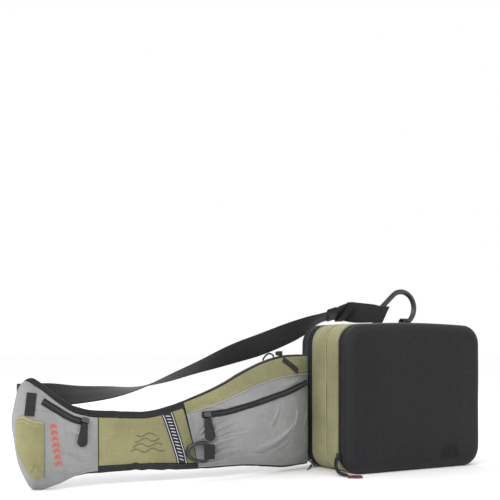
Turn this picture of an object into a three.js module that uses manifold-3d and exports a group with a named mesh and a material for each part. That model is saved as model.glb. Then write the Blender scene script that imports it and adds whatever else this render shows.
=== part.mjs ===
// Fishing tackle sling bag, standing closed on its long lower side.
// A case of two moulded foam shells with a fabric gusset between them, a padded wing with pockets
// that runs off the case's left side, and a webbing strap from the wing's end to a carabiner
// behind the case. Millimetres, +Z up, the case's front looks along -Y.
import * as THREE from 'three';
import Module from 'manifold-3d';
import { mergeVertices } from 'three/addons/utils/BufferGeometryUtils.js';

const wasm = await Module();
wasm.setup();

// Case
const caseWidth = 290;
const caseHeight = 250;
const caseCorner = 34;
const topBow = 3;
const frontShellDepth = 19;
const frontBandDepth = 16;
const gussetDepth = 78;
const rearBandDepth = 14;
const rearShellDepth = 25;
const shellWall = 3;
const frontFillet = 15;
const rearFillet = 9;
const faceCrown = 2;
const bandInset = 1.5;
const bandWall = 2;
const coilWidth = 7;
const coilRise = 1.6;
const gussetWall = 2;
const gussetCrease = 5;
const gussetSwell = 1.5;

// Wing
const wingLength = 525;
const wingHeight = 200;
const wingTurn = 31.5;
const wingRootInset = 1.5;
const padThickness = 12;
const padEdge = 5;
const bindingLip = 10;
const bindingWall = 1.2;
const panelWall = 1.7;

// Pockets on the wing
const pocketWall = 1.8;
const pocketOverhang = 3;
const pocketInset = 3;
const bigPocketLength = 245;
const bigPocketSlant = 26;
const bigPocketDepth = 26;
const endPocketLength = 128;
const endPocketDepth = 24;
const zipWidth = 10;
const zipThickness = 1.6;
const patchWall = 1.4;

// Trim
const tapeWidth = 18;
const tapeThickness = 1.3;
const tapeGap = 20;
const pullThickness = 3.4;
const sliderThickness = 5;
const sliderLength = 12;
const sliderWidth = 8;
const ringWidth = 33;
const ringHeight = 35;
const ringRod = 5;
const ringTabHeight = 23;

// Strap and its hook
const strapWidth = 38;
const strapThickness = 1.6;
const strapSag = 37;
const strapBow = 24;
const strapLap = 60;
const hookLength = 110;
const hookWide = 72;
const hookNarrow = 40;
const hookRod = 10;
const hookTilt = 24;
const gateRod = 8;
const gateGap = 0.6;
const pivotPin = 2.8;
const tongueThickness = 3.6;
const anchorWidth = 15;
const anchorWall = 1.5;

// Clearances
const gap = 0.3;
const clearance = 0.6;
const runningGap = 0.4;

// Places worked out from the sizes
const pocketRim = bindingWall + pocketWall + 3 * gap;
const caseDepth = frontShellDepth + frontBandDepth + gussetDepth + rearBandDepth + rearShellDepth;
const frontFace = -caseDepth / 2;
const frontBandStart = frontFace + frontShellDepth;
const gussetStart = frontBandStart + frontBandDepth;
const rearBandStart = gussetStart + gussetDepth;
const rearShellStart = rearBandStart + rearBandDepth;
const rearFace = caseDepth / 2;

// Colours and finishes
const finishes = {
  foam: new THREE.MeshStandardMaterial({ color: '#2b2b2e', roughness: 0.85, metalness: 0 }),
  tape: new THREE.MeshStandardMaterial({ color: '#1d1d1f', roughness: 0.8, metalness: 0 }),
  webbing: new THREE.MeshStandardMaterial({ color: '#242427', roughness: 0.8, metalness: 0 }),
  olive: new THREE.MeshStandardMaterial({ color: '#9c9868', roughness: 0.8, metalness: 0 }),
  grey: new THREE.MeshStandardMaterial({ color: '#9a9a97', roughness: 0.75, metalness: 0 }),
  mesh: new THREE.MeshStandardMaterial({ color: '#1b1b1d', roughness: 0.95, metalness: 0 }),
  rubber: new THREE.MeshStandardMaterial({ color: '#1a1a1a', roughness: 0.6, metalness: 0 }),
  redRubber: new THREE.MeshStandardMaterial({ color: '#7d2226', roughness: 0.6, metalness: 0 }),
  metal: new THREE.MeshStandardMaterial({ color: '#c9cacb', roughness: 0.25, metalness: 1 }),
};

const part = new THREE.Group();

function addPiece(name, geometry, finish, parent = part) {
  const piece = new THREE.Mesh(geometry, finishes[finish]);
  piece.name = name;
  parent.add(piece);
  return piece;
}

const radians = THREE.MathUtils.degToRad;
const clampShare = (value) => THREE.MathUtils.clamp(value, 0, 1);
const mix = THREE.MathUtils.lerp;

// Smooth curve through one column of a table, looked up by the table's first column.
function tableCurve(rows, key, column) {
  const curve = new THREE.CubicInterpolant(rows.map((row) => row[key]), rows.map((row) => row[column]), 1);
  return (share) => curve.evaluate(clampShare(share))[0];
}

// Closed mesh from points and triangles, turned so that its faces point out.
function closedGeometry(points, triangles) {
  let volume = 0;
  for (const [a, b, c] of triangles) {
    volume += points[a].dot(new THREE.Vector3().crossVectors(points[b], points[c]));
  }
  const facingOut = volume >= 0 ? triangles : triangles.map(([a, b, c]) => [a, c, b]);
  const geometry = new THREE.BufferGeometry();
  const numbers = points.flatMap((point) => point.toArray());
  geometry.setAttribute('position', new THREE.Float32BufferAttribute(numbers, 3));
  geometry.setIndex(facingOut.flat());
  geometry.computeVertexNormals();
  return geometry;
}

// Triangles that fill a nearly flat ring, wound as the ring is.
function capTriangles(ring) {
  const normal = new THREE.Vector3();
  ring.forEach((point, i) => {
    const next = ring[(i + 1) % ring.length];
    normal.add(new THREE.Vector3().crossVectors(point, next));
  });
  normal.normalize();
  const right = ring[1].clone().sub(ring[0]).projectOnPlane(normal).normalize();
  const up = normal.clone().cross(right);
  const flat = ring.map((point) => new THREE.Vector2(point.dot(right), point.dot(up)));
  return THREE.ShapeUtils.triangulateShape(flat, []);
}

// Skin over a row of rings of points; a loop closes on itself, an open row is capped at both ends.
function loft(rings, isLoop = false) {
  const count = rings[0].length;
  const points = rings.flat();
  const triangles = [];
  const spans = isLoop ? rings.length : rings.length - 1;
  for (let r = 0; r < spans; r += 1) {
    const next = (r + 1) % rings.length;
    for (let i = 0; i < count; i += 1) {
      const a = r * count + i;
      const b = r * count + ((i + 1) % count);
      const c = next * count + ((i + 1) % count);
      const d = next * count + i;
      triangles.push([a, b, c], [a, c, d]);
    }
  }
  if (!isLoop) {
    const end = points.length - count;
    for (const [a, b, c] of capTriangles(rings[0])) triangles.push([a, c, b]);
    const lastRing = rings[rings.length - 1];
    for (const [a, b, c] of capTriangles(lastRing)) triangles.push([end + a, end + b, end + c]);
  }
  return closedGeometry(points, triangles);
}

// Sheet between a front and a back surface, both given as functions of two shares.
function slab(columns, rows, front, back) {
  const points = [];
  const stride = rows + 1;
  for (const surface of [front, back]) {
    for (let i = 0; i <= columns; i += 1) {
      for (let j = 0; j <= rows; j += 1) {
        points.push(surface(i / columns, j / rows));
      }
    }
  }
  const near = (i, j) => i * stride + j;
  const far = (i, j) => (columns + 1) * stride + i * stride + j;
  const triangles = [];
  const quad = (a, b, c, d) => triangles.push([a, b, c], [a, c, d]);
  for (let i = 0; i < columns; i += 1) {
    for (let j = 0; j < rows; j += 1) {
      quad(near(i, j), near(i + 1, j), near(i + 1, j + 1), near(i, j + 1));
      quad(far(i, j), far(i, j + 1), far(i + 1, j + 1), far(i + 1, j));
    }
    quad(near(i + 1, 0), near(i, 0), far(i, 0), far(i + 1, 0));
    quad(near(i, rows), near(i + 1, rows), far(i + 1, rows), far(i, rows));
  }
  for (let j = 0; j < rows; j += 1) {
    quad(near(0, j), near(0, j + 1), far(0, j + 1), far(0, j));
    quad(near(columns, j + 1), near(columns, j), far(columns, j), far(columns, j + 1));
  }
  return closedGeometry(points, triangles);
}

// Surface moved by a distance along its own normal, taken from its slopes.
function offsetSurface(surface, distance, outward) {
  const step = 0.01;
  return (u, v) => {
    const along = surface(Math.min(u + step, 1), v).sub(surface(Math.max(u - step, 0), v));
    const up = surface(u, Math.min(v + step, 1)).sub(surface(u, Math.max(v - step, 0)));
    const normal = along.cross(up).normalize();
    if (normal.dot(outward(u, v)) < 0) normal.negate();
    return surface(u, v).addScaledVector(normal, distance);
  };
}

// Flat band with a rectangular section; each station has a centre and a half-width vector.
function ribbon(stations, thickness) {
  const rings = stations.map(({ centre, across }, i) => {
    const before = stations[Math.max(i - 1, 0)].centre;
    const after = stations[Math.min(i + 1, stations.length - 1)].centre;
    const through = after.clone().sub(before).cross(across).setLength(thickness / 2);
    return [[1, 1], [-1, 1], [-1, -1], [1, -1]].map(([side, face]) => (
      centre.clone().addScaledVector(across, side).addScaledVector(through, face)
    ));
  });
  return loft(rings);
}

// Round rod along a path of points in one plane.
function rod(path, planeNormal, radius, sides, isLoop = false) {
  const rings = path.map((centre, i) => {
    const before = isLoop ? path[(i + path.length - 1) % path.length] : path[Math.max(i - 1, 0)];
    const after = isLoop ? path[(i + 1) % path.length] : path[Math.min(i + 1, path.length - 1)];
    const outward = after.clone().sub(before).cross(planeNormal).normalize();
    return Array.from({ length: sides }, (_, k) => {
      const angle = (2 * Math.PI * (k + 0.5)) / sides;
      return centre.clone()
        .addScaledVector(outward, radius * Math.cos(angle))
        .addScaledVector(planeNormal, radius * Math.sin(angle));
    });
  });
  return loft(rings, isLoop);
}

// Solid of the boolean library from a closed mesh, and back.
function toSolid(geometry) {
  const bare = geometry.clone();
  bare.deleteAttribute('normal');
  bare.deleteAttribute('uv');
  const merged = mergeVertices(bare, 1e-4);
  return new wasm.Manifold(new wasm.Mesh({
    numProp: 3,
    vertProperties: new Float32Array(merged.attributes.position.array),
    triVerts: new Uint32Array(merged.index.array),
  }));
}

function fromSolid(solid) {
  const mesh = solid.getMesh();
  const geometry = new THREE.BufferGeometry();
  geometry.setAttribute('position', new THREE.BufferAttribute(new Float32Array(mesh.vertProperties), 3));
  geometry.setIndex(new THREE.BufferAttribute(new Uint32Array(mesh.triVerts), 1));
  geometry.computeVertexNormals();
  return geometry;
}

// Case: every ring round it follows one rounded rectangle whose top side bows up a little.
const cornerSteps = 5;
const sideSteps = 5;

function caseOutline(inset, y) {
  const halfWidth = caseWidth / 2 - inset;
  const top = caseHeight - inset;
  const foot = Math.max(inset, 0);
  const radius = Math.max(caseCorner - inset, 2);
  const corners = [
    [halfWidth - radius, top - radius, 0],
    [-halfWidth + radius, top - radius, 90],
    [-halfWidth + radius, foot + radius, 180],
    [halfWidth - radius, foot + radius, 270],
  ];
  const points = [];
  corners.forEach(([x, z, start], corner) => {
    for (let i = 0; i <= cornerSteps; i += 1) {
      const angle = radians(start + (90 * i) / cornerSteps);
      points.push(new THREE.Vector3(x + radius * Math.cos(angle), y, z + radius * Math.sin(angle)));
    }
    const last = points[points.length - 1];
    const [nextX, nextZ, nextStart] = corners[(corner + 1) % corners.length];
    const goal = new THREE.Vector3(
      nextX + radius * Math.cos(radians(nextStart)), y, nextZ + radius * Math.sin(radians(nextStart)));
    for (let i = 1; i < sideSteps; i += 1) {
      const point = last.clone().lerp(goal, i / sideSteps);
      if (corner === 0) point.z += topBow * Math.sin((Math.PI * i) / sideSteps);
      points.push(point);
    }
  });
  return points;
}

// Half shell: a dish with a filleted face, open at its rim. The face looks along the given direction.
function shell(face, rim, fillet) {
  const outward = Math.sign(face - rim);
  const filletSteps = 4;
  const rings = [caseOutline(caseHeight / 4, face)];
  for (let i = 0; i <= filletSteps; i += 1) {
    const angle = (Math.PI / 2) * (i / filletSteps);
    const y = face - outward * (faceCrown + (fillet - faceCrown) * (1 - Math.cos(angle)));
    rings.push(caseOutline(fillet * (1 - Math.sin(angle)), y));
  }
  rings.push(caseOutline(0, rim));
  rings.push(caseOutline(shellWall, rim));
  const innerFillet = fillet - shellWall;
  for (let i = filletSteps; i >= 0; i -= 2) {
    const angle = (Math.PI / 2) * (i / filletSteps);
    const drop = (innerFillet - faceCrown) * (1 - Math.cos(angle));
    const y = face - outward * (shellWall + faceCrown + drop);
    rings.push(caseOutline(shellWall + innerFillet * (1 - Math.sin(angle)), y));
  }
  rings.push(caseOutline(caseHeight / 4, face - outward * shellWall));
  return loft(rings);
}

// Band round the case from a section of [inset, y] pairs.
function caseBand(section) {
  const outlines = section.map(([inset, y]) => caseOutline(inset, y));
  const rings = outlines[0].map((_, i) => outlines.map((outline) => outline[i]));
  return loft(rings, true);
}

// Zip tape with the raised coil along its middle.
function zipBand(start, depth) {
  const middle = start + depth / 2;
  return caseBand([
    [bandInset, start + gap],
    [bandInset, middle - coilWidth / 2],
    [bandInset - coilRise, middle - coilWidth / 4],
    [bandInset - coilRise, middle + coilWidth / 4],
    [bandInset, middle + coilWidth / 2],
    [bandInset, start + depth - gap],
    [bandInset + bandWall, start + depth - gap],
    [bandInset + bandWall, start + gap],
  ]);
}

function gussetBand() {
  const profile = [
    { at: 0, sink: bandInset },
    { at: 0.12, sink: 0 },
    { at: 0.3, sink: -gussetSwell },
    { at: 0.43, sink: 0 },
    { at: 0.5, sink: gussetCrease },
    { at: 0.57, sink: 0 },
    { at: 0.7, sink: -gussetSwell },
    { at: 0.88, sink: 0 },
    { at: 1, sink: bandInset },
  ];
  const place = (share) => mix(gussetStart + gap, rearBandStart - gap, share);
  const foot = (sink) => Math.max(sink, 0);
  const outer = profile.map(({ at, sink }) => [sink, place(at)]);
  const inner = profile.map(({ at, sink }) => [foot(sink) + gussetWall, place(at)]).reverse();
  return [outer, inner];
}

addPiece('front_shell', shell(frontFace, frontBandStart, frontFillet), 'foam');
addPiece('front_zip_band', zipBand(frontBandStart, frontBandDepth), 'tape');
addPiece('gusset', caseBand(gussetBand().flat()), 'olive');
addPiece('rear_zip_band', zipBand(rearBandStart, rearBandDepth), 'tape');
addPiece('rear_shell', shell(rearFace, rearShellStart, rearFillet), 'foam');

// Wing: an upright surface on an arc in plan, hollow towards the wearer at +Y. A place on it is
// the distance from the case, the height, and the distance out of the pad's front face.
const wingRadius = wingLength / radians(wingTurn);
const wingHalfTurn = radians(wingTurn / 2);
const wingRootX = -caseWidth / 2 - gap - pocketRim * Math.sin(wingHalfTurn);
const wingRootY = rearShellStart + wingRootInset;
const wingCentre = new THREE.Vector2(
  wingRootX - wingRadius * Math.sin(wingHalfTurn),
  wingRootY + wingRadius * Math.cos(wingHalfTurn),
);

function wingPoint(distance, height, out) {
  const angle = wingHalfTurn - distance / wingRadius;
  return new THREE.Vector3(
    wingCentre.x + (wingRadius + out) * Math.sin(angle),
    wingCentre.y - (wingRadius + out) * Math.cos(angle),
    height,
  );
}

function wingOut(distance) {
  const angle = wingHalfTurn - distance / wingRadius;
  return new THREE.Vector3(Math.sin(angle), -Math.cos(angle), 0);
}

// Upper and lower edge of the wing, as shares of its length and height.
const wingEdges = [
  { along: 0, top: 0.995, foot: 0.03 },
  { along: 0.12, top: 0.98, foot: 0.03 },
  { along: 0.2, top: 0.935, foot: 0.055 },
  { along: 0.28, top: 0.855, foot: 0.075 },
  { along: 0.37, top: 0.745, foot: 0.08 },
  { along: 0.47, top: 0.65, foot: 0.085 },
  { along: 0.56, top: 0.58, foot: 0.1 },
  { along: 0.62, top: 0.56, foot: 0.105 },
  { along: 0.7, top: 0.57, foot: 0.105 },
  { along: 0.78, top: 0.585, foot: 0.1 },
  { along: 0.83, top: 0.625, foot: 0.08 },
  { along: 0.88, top: 0.715, foot: 0.04 },
  { along: 0.92, top: 0.8, foot: 0.015 },
  { along: 0.945, top: 0.83, foot: 0.03 },
  { along: 0.965, top: 0.8, foot: 0.12 },
  { along: 0.982, top: 0.715, foot: 0.24 },
  { along: 1, top: 0.56, foot: 0.46 },
];
const topShare = tableCurve(wingEdges, 'along', 'top');
const footShare = tableCurve(wingEdges, 'along', 'foot');
const wingTop = (distance) => wingHeight * topShare(distance / wingLength);
const wingFoot = (distance) => wingHeight * footShare(distance / wingLength);

// Columns close up towards the wing's far end, where its outline turns fastest.
const towardsEnd = (share) => 1 - (1 - share) ** 1.6;
const wingColumns = 26;

// The wing's rim: along its upper edge to the far end and back along its lower edge.
const rim = [];
for (let i = 0; i <= wingColumns; i += 1) {
  const distance = wingLength * towardsEnd(i / wingColumns);
  const upper = new THREE.Vector2(distance, wingTop(distance));
  const lower = new THREE.Vector2(distance, wingFoot(distance));
  rim.splice(i, 0, upper, lower);
}
const rimInward = rim.map((point, i) => {
  if (i === 0) return new THREE.Vector2(0, -1);
  if (i === rim.length - 1) return new THREE.Vector2(0, 1);
  const ahead = rim[i + 1].clone().sub(rim[i - 1]).normalize();
  return new THREE.Vector2(ahead.y, -ahead.x);
});
const rimPoint = (i, depth) => rim[i].clone().addScaledVector(rimInward[i], depth);

// Padded panel, pressed thin under the edge binding and thick in its middle. The first rows follow
// the rim inwards, and the rest share out the way across to the opposite edge.
const padInset = bindingWall + gap;
const padSeat = bindingLip + clearance;
const padRows = [
  { depth: padInset, across: 0, swell: 0 },
  { depth: padSeat, across: 0, swell: 0 },
  { depth: padSeat, across: 0.13, swell: 0.6 },
  { depth: padSeat, across: 0.3, swell: 0.93 },
  { depth: padSeat, across: 0.5, swell: 1 },
];
const padRowCount = 2 * (padRows.length - 1);
const padTipRamp = 20;

function padPoint(u, v, out) {
  const column = Math.round(u * wingColumns);
  const row = Math.round(v * padRowCount);
  const { depth, across, swell } = padRows[Math.min(row, padRowCount - row)];
  const ends = [rimPoint(rim.length - 1 - column, depth), rimPoint(column, depth)];
  if (row > padRowCount / 2) ends.reverse();
  const place = ends[0].lerp(ends[1], across);
  const thickAway = clampShare((wingLength - bindingLip - place.x) / padTipRamp - 0.5);
  return wingPoint(place.x, place.y, out ?? -mix(padEdge, padThickness, swell * thickAway));
}
addPiece('wing_pad', slab(
  wingColumns, padRowCount, (u, v) => padPoint(u, v, 0), (u, v) => padPoint(u, v)), 'mesh');

// Edge binding: a tape folded round the rim.
function bindingStrip() {
  const cavity = padInset - gap;
  const section = [
    [0, bindingWall + gap],
    [0, -padEdge - gap - bindingWall],
    [bindingLip, -padEdge - gap - bindingWall],
    [bindingLip, -padEdge - gap],
    [cavity, -padEdge - gap],
    [cavity, gap],
    [bindingLip, gap],
    [bindingLip, bindingWall + gap],
  ];
  return loft(rim.map((_, i) => section.map(([depth, out]) => {
    const seat = rimPoint(i, depth);
    return wingPoint(seat.x, seat.y, out);
  })));
}
addPiece('wing_binding', bindingStrip(), 'webbing');

// Strip of tape or zip along a path of [distance, height], lying on a surface of the wing.
function strip(path, width, surface, base, thickness, columns) {
  const place = (u, v, lift) => {
    const step = 0.01;
    const ahead = path(Math.min(u + step, 1)).sub(path(Math.max(u - step, 0))).normalize();
    const point = path(u).addScaledVector(new THREE.Vector2(-ahead.y, ahead.x), (v - 0.5) * width);
    return wingPoint(point.x, point.y, surface(point.x, point.y) + lift);
  };
  return slab(columns, 2, (u, v) => place(u, v, base + thickness), (u, v) => place(u, v, base));
}

// Places a piece drawn flat, its X towards the case, its Y up and its Z out of the wing.
function poseOnWing(piece, distance, height, out, tilt = 0) {
  const outward = wingOut(distance);
  const up = new THREE.Vector3(0, 0, 1);
  const right = up.clone().cross(outward);
  piece.quaternion.setFromRotationMatrix(new THREE.Matrix4().makeBasis(right, up, outward));
  piece.rotateZ(radians(tilt));
  piece.position.copy(wingPoint(distance, height, out));
  return piece;
}

// Lays a flat piece on a swelling surface: its back is square to the surface's own normal there.
function layOnSurface(piece, seat, surface, lift, tilt, step) {
  const slopeAlong = (surface(seat.x + step, seat.y) - surface(seat.x - step, seat.y)) / (2 * step);
  const slopeUp = (surface(seat.x, seat.y + step) - surface(seat.x, seat.y - step)) / (2 * step);
  poseOnWing(piece, seat.x, seat.y, surface(seat.x, seat.y));
  const normal = new THREE.Vector3(slopeAlong, -slopeUp, 1).normalize();
  piece.quaternion.multiply(new THREE.Quaternion().setFromUnitVectors(new THREE.Vector3(0, 0, 1), normal));
  piece.rotateZ(radians(tilt));
  piece.translateZ(lift);
  return piece;
}

// Rubber pull: a drop hanging from the origin, narrow above and round below.
function pullGeometry(length, narrow, wide) {
  const shape = new THREE.Shape();
  const low = -length + wide / 2;
  shape.moveTo(-narrow / 2, 0);
  shape.lineTo(-wide / 2, low);
  shape.absarc(0, low, wide / 2, Math.PI, 2 * Math.PI, false);
  shape.lineTo(narrow / 2, 0);
  shape.closePath();
  return new THREE.ExtrudeGeometry(shape, { depth: pullThickness, bevelEnabled: false, curveSegments: 7 });
}

function sliderGeometry() {
  const shape = new THREE.Shape();
  shape.moveTo(-sliderLength / 2, -sliderWidth / 3);
  shape.lineTo(-sliderLength / 6, -sliderWidth / 2);
  shape.lineTo(sliderLength / 2, -sliderWidth / 2);
  shape.lineTo(sliderLength / 2, sliderWidth / 2);
  shape.lineTo(-sliderLength / 6, sliderWidth / 2);
  shape.lineTo(-sliderLength / 2, sliderWidth / 3);
  shape.closePath();
  return new THREE.ExtrudeGeometry(shape, { depth: sliderThickness, bevelEnabled: false });
}

// Large pocket next to the case: one swelling front, cut along a line into pocket and yoke.
const bigAlong = tableCurve([
  { at: 0, swell: 0 },
  { at: 0.04, swell: 0.24 },
  { at: 0.12, swell: 0.62 },
  { at: 0.25, swell: 0.92 },
  { at: 0.42, swell: 1 },
  { at: 0.62, swell: 0.92 },
  { at: 0.8, swell: 0.62 },
  { at: 0.93, swell: 0.24 },
  { at: 1, swell: 0 },
], 'at', 'swell');
const bigUp = tableCurve([
  { at: 0, swell: 0 },
  { at: 0.06, swell: 0.42 },
  { at: 0.16, swell: 0.8 },
  { at: 0.32, swell: 1 },
  { at: 0.52, swell: 0.98 },
  { at: 0.7, swell: 0.8 },
  { at: 0.84, swell: 0.5 },
  { at: 0.93, swell: 0.24 },
  { at: 1, swell: 0 },
], 'at', 'swell');
const bigEdge = (v) => bigPocketLength + bigPocketSlant * (v - 0.5);
const bigLow = (distance) => wingFoot(distance) + pocketInset;
const bigHigh = (distance) => wingTop(distance) - pocketInset;

function bigOut(distance, height) {
  const v = clampShare((height - bigLow(distance)) / (bigHigh(distance) - bigLow(distance)));
  const u = clampShare(distance / bigEdge(v));
  return pocketRim + bigPocketDepth * bigAlong(u) * bigUp(v);
}

function bigFront(u, v) {
  const distance = u * bigEdge(v);
  const height = mix(bigLow(distance), bigHigh(distance), v);
  return wingPoint(distance, height, bigOut(distance, height));
}

const yokeLine = 0.83;
const seamShare = gap / wingHeight;
const bigBack = offsetSurface(bigFront, -pocketWall, (u) => wingOut(u * bigPocketLength));
addPiece('big_pocket', slab(
  15, 9, (u, v) => bigFront(u, v * yokeLine), (u, v) => bigBack(u, v * yokeLine)), 'grey');
const yokeShare = (v) => mix(yokeLine + 2 * seamShare, 1, v);
addPiece('pocket_yoke', slab(
  15, 3, (u, v) => bigFront(u, yokeShare(v)), (u, v) => bigBack(u, yokeShare(v))), 'olive');

const bigZipShare = tableCurve([
  { at: 0, up: 0.76 },
  { at: 0.1, up: 0.74 },
  { at: 0.3, up: 0.69 },
  { at: 0.55, up: 0.665 },
  { at: 0.8, up: 0.695 },
  { at: 1, up: 0.77 },
], 'at', 'up');
const bigZipFrom = 0.03;
const bigZipTo = 0.94;
function bigZipPath(u) {
  const share = mix(bigZipFrom, bigZipTo, u);
  const distance = share * bigPocketLength;
  return new THREE.Vector2(distance, mix(bigLow(distance), bigHigh(distance), bigZipShare(share)));
}
addPiece('big_zip', strip(bigZipPath, zipWidth, bigOut, clearance, zipThickness, 15), 'tape');

// Pocket at the wing's end. It reaches past the pad's edge there and hides the binding.
const endStart = wingLength - endPocketLength;
const endAlong = tableCurve([
  { at: 0, swell: 0 },
  { at: 0.08, swell: 0.26 },
  { at: 0.25, swell: 0.64 },
  { at: 0.5, swell: 0.92 },
  { at: 0.7, swell: 1 },
  { at: 0.85, swell: 0.88 },
  { at: 0.94, swell: 0.58 },
  { at: 1, swell: 0 },
], 'at', 'swell');
const endUp = tableCurve([
  { at: 0, swell: 0 },
  { at: 0.08, swell: 0.5 },
  { at: 0.2, swell: 0.86 },
  { at: 0.38, swell: 1 },
  { at: 0.58, swell: 0.96 },
  { at: 0.76, swell: 0.72 },
  { at: 0.9, swell: 0.36 },
  { at: 1, swell: 0 },
], 'at', 'swell');
const endShare = (distance) => clampShare((distance - endStart) / (endPocketLength + pocketOverhang));
const endLow = (distance) => wingFoot(distance)
  + mix(pocketInset, -pocketOverhang, THREE.MathUtils.smoothstep(endShare(distance), 0.1, 0.5));
const endHigh = (distance) => wingTop(distance)
  - mix(bindingLip + clearance, -pocketOverhang, THREE.MathUtils.smoothstep(endShare(distance), 0.72, 0.92));

function endOut(distance, height) {
  const v = clampShare((height - endLow(distance)) / (endHigh(distance) - endLow(distance)));
  return pocketRim + endPocketDepth * endAlong(endShare(distance)) * endUp(v);
}

function endFront(u, v) {
  const distance = mix(endStart, wingLength + pocketOverhang, u);
  const height = mix(endLow(distance), endHigh(distance), v);
  return wingPoint(distance, height, endOut(distance, height));
}
const endBack = offsetSurface(endFront, -pocketWall, (u) => wingOut(endStart + u * endPocketLength));
const endColumn = (u) => towardsEnd(u * 0.999);
addPiece('end_pocket', slab(
  13, 10, (u, v) => endFront(endColumn(u), v), (u, v) => endBack(endColumn(u), v)), 'grey');

const patchShares = { from: 0.64, to: 0.955, low: 0.12, high: 0.63 };
function patchPoint(u, v, lift) {
  const along = mix(patchShares.from, patchShares.to, u);
  const distance = mix(endStart, wingLength + pocketOverhang, along);
  const height = mix(endLow(distance), endHigh(distance), mix(patchShares.low, patchShares.high, v));
  return wingPoint(distance, height, endOut(distance, height) + lift);
}
addPiece('end_patch', slab(
  6, 5, (u, v) => patchPoint(u, v, clearance + patchWall), (u, v) => patchPoint(u, v, clearance)), 'olive');

const endZipRows = [
  { at: 0, along: 0.13, up: 0.9 },
  { at: 0.4, along: 0.33, up: 0.905 },
  { at: 0.7, along: 0.48, up: 0.91 },
  { at: 1, along: 0.65, up: 0.9 },
];
const endZipAlong = tableCurve(endZipRows, 'at', 'along');
const endZipUp = tableCurve(endZipRows, 'at', 'up');
function endZipPath(u) {
  const distance = mix(endStart, wingLength + pocketOverhang, endZipAlong(u));
  return new THREE.Vector2(distance, mix(endLow(distance), endHigh(distance), endZipUp(u)));
}
addPiece('end_zip', strip(endZipPath, zipWidth, endOut, clearance, zipThickness, 8), 'tape');

// Web tab that closes the small patch pocket.
const tabWidth = 14;
const tabLength = 35;
const tabLean = 4;
const tabAlong = 0.775;
const tabDistance = mix(endStart, wingLength + pocketOverhang, tabAlong);
const tabFoot = clearance + Math.max(...[-1, 1].map((side) => {
  const distance = tabDistance + side * (tabWidth / 2 + 1);
  return mix(endLow(distance), endHigh(distance), patchShares.high);
}));
const tabPath = (u) => new THREE.Vector2(tabDistance - tabLean * u, tabFoot + tabLength * u);
addPiece('end_tab', strip(tabPath, tabWidth, endOut, clearance, patchWall, 4), 'webbing');

// Slider near one end of each pocket zip, with its pull hanging from it.
function zipRunner(name, path, at, surface, pull) {
  const seat = path(at);
  const ahead = path(Math.min(at + 0.02, 1)).sub(path(Math.max(at - 0.02, 0)));
  const slope = Math.atan2(-ahead.y, ahead.x);
  const lift = clearance + zipThickness + gap;
  const slider = addPiece(`${name}_slider`, sliderGeometry(), 'metal');
  layOnSurface(slider, seat, surface, lift, THREE.MathUtils.radToDeg(slope), sliderWidth / 2);
  const dip = (sliderWidth / 2) * Math.cos(slope) + (sliderLength / 2) * Math.abs(Math.sin(slope));
  const middle = new THREE.Vector2(seat.x + pull.lean / 2, seat.y - dip + pull.near - pull.length / 2);
  const tilt = THREE.MathUtils.radToDeg(Math.atan2(pull.lean, pull.length));
  const drop = addPiece(`${name}_pull`, pullGeometry(pull.length, pull.narrow, pull.wide), 'rubber');
  layOnSurface(drop, middle, surface, lift, -tilt, pull.length / 2);
  drop.translateY(pull.length / 2);
}
const bigPullReach = wingTop(bigPocketLength) - wingFoot(bigPocketLength);
const bigPullShare = 0.33;
const bigPull = {
  length: bigPullShare * bigPullReach, narrow: 10, wide: 17, lean: -6, near: -gap,
};
const endPull = { length: 35, narrow: 9, wide: 15, lean: 7, near: 2.4 };
zipRunner('big_zip', bigZipPath, 0.965, bigOut, bigPull);
zipRunner('end_zip', endZipPath, 0.08, endOut, endPull);

// Fabric panel in the middle of the wing, with the slanted woven tape on it.
const panelLow = (distance) => wingFoot(distance) + bindingLip + clearance;
const panelHigh = (distance) => wingTop(distance) - bindingLip - clearance;
function panelPoint(u, v, out) {
  const distance = mix(bigEdge(v) + clearance + 1, endStart - clearance - 1, u);
  return wingPoint(distance, mix(panelLow(distance), panelHigh(distance), v), out);
}
addPiece('mid_panel', slab(
  8, 2, (u, v) => panelPoint(u, v, gap + panelWall), (u, v) => panelPoint(u, v, gap)), 'olive');

function tapePoint(u, v, out) {
  const distance = bigEdge(v) + tapeGap + tapeWidth * u;
  return wingPoint(distance, mix(panelLow(distance), panelHigh(distance), v), out);
}
const tapeBase = gap + panelWall + gap;
addPiece('woven_tape', slab(
  2, 3, (u, v) => tapePoint(u, v, tapeBase + tapeThickness),
  (u, v) => tapePoint(u, v, tapeBase)), 'webbing');

// D-ring held by a folded web tab at the large pocket's end.
const ringDistance = bigPocketLength - 20;
const ringShare = 0.236;
const ringCentreHeight = mix(wingFoot(ringDistance), wingTop(ringDistance), ringShare);
const ringWall = 1.2;
const ringSpan = ringWidth - ringRod;
const ringSeat = clearance + ringWall + gap + ringRod / 2;
const barOut = bigOut(ringDistance, ringCentreHeight + ringTabHeight / 2) + ringSeat;
const ringTipOut = tapeBase + tapeThickness + clearance + ringRod / 2;
function ringPath() {
  const points = [];
  const steps = 12;
  for (let i = 0; i <= steps; i += 1) {
    const angle = Math.PI * (i / steps - 0.5);
    const reach = Math.max(Math.cos(angle), 0) ** 0.75;
    const height = ringCentreHeight + ((ringHeight - ringRod) / 2) * Math.sin(angle);
    points.push(wingPoint(ringDistance + ringSpan * reach, height, mix(barOut, ringTipOut, reach)));
  }
  return points;
}
addPiece('d_ring', rod(ringPath(), wingOut(ringDistance), ringRod / 2, 8, true), 'metal');

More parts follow.
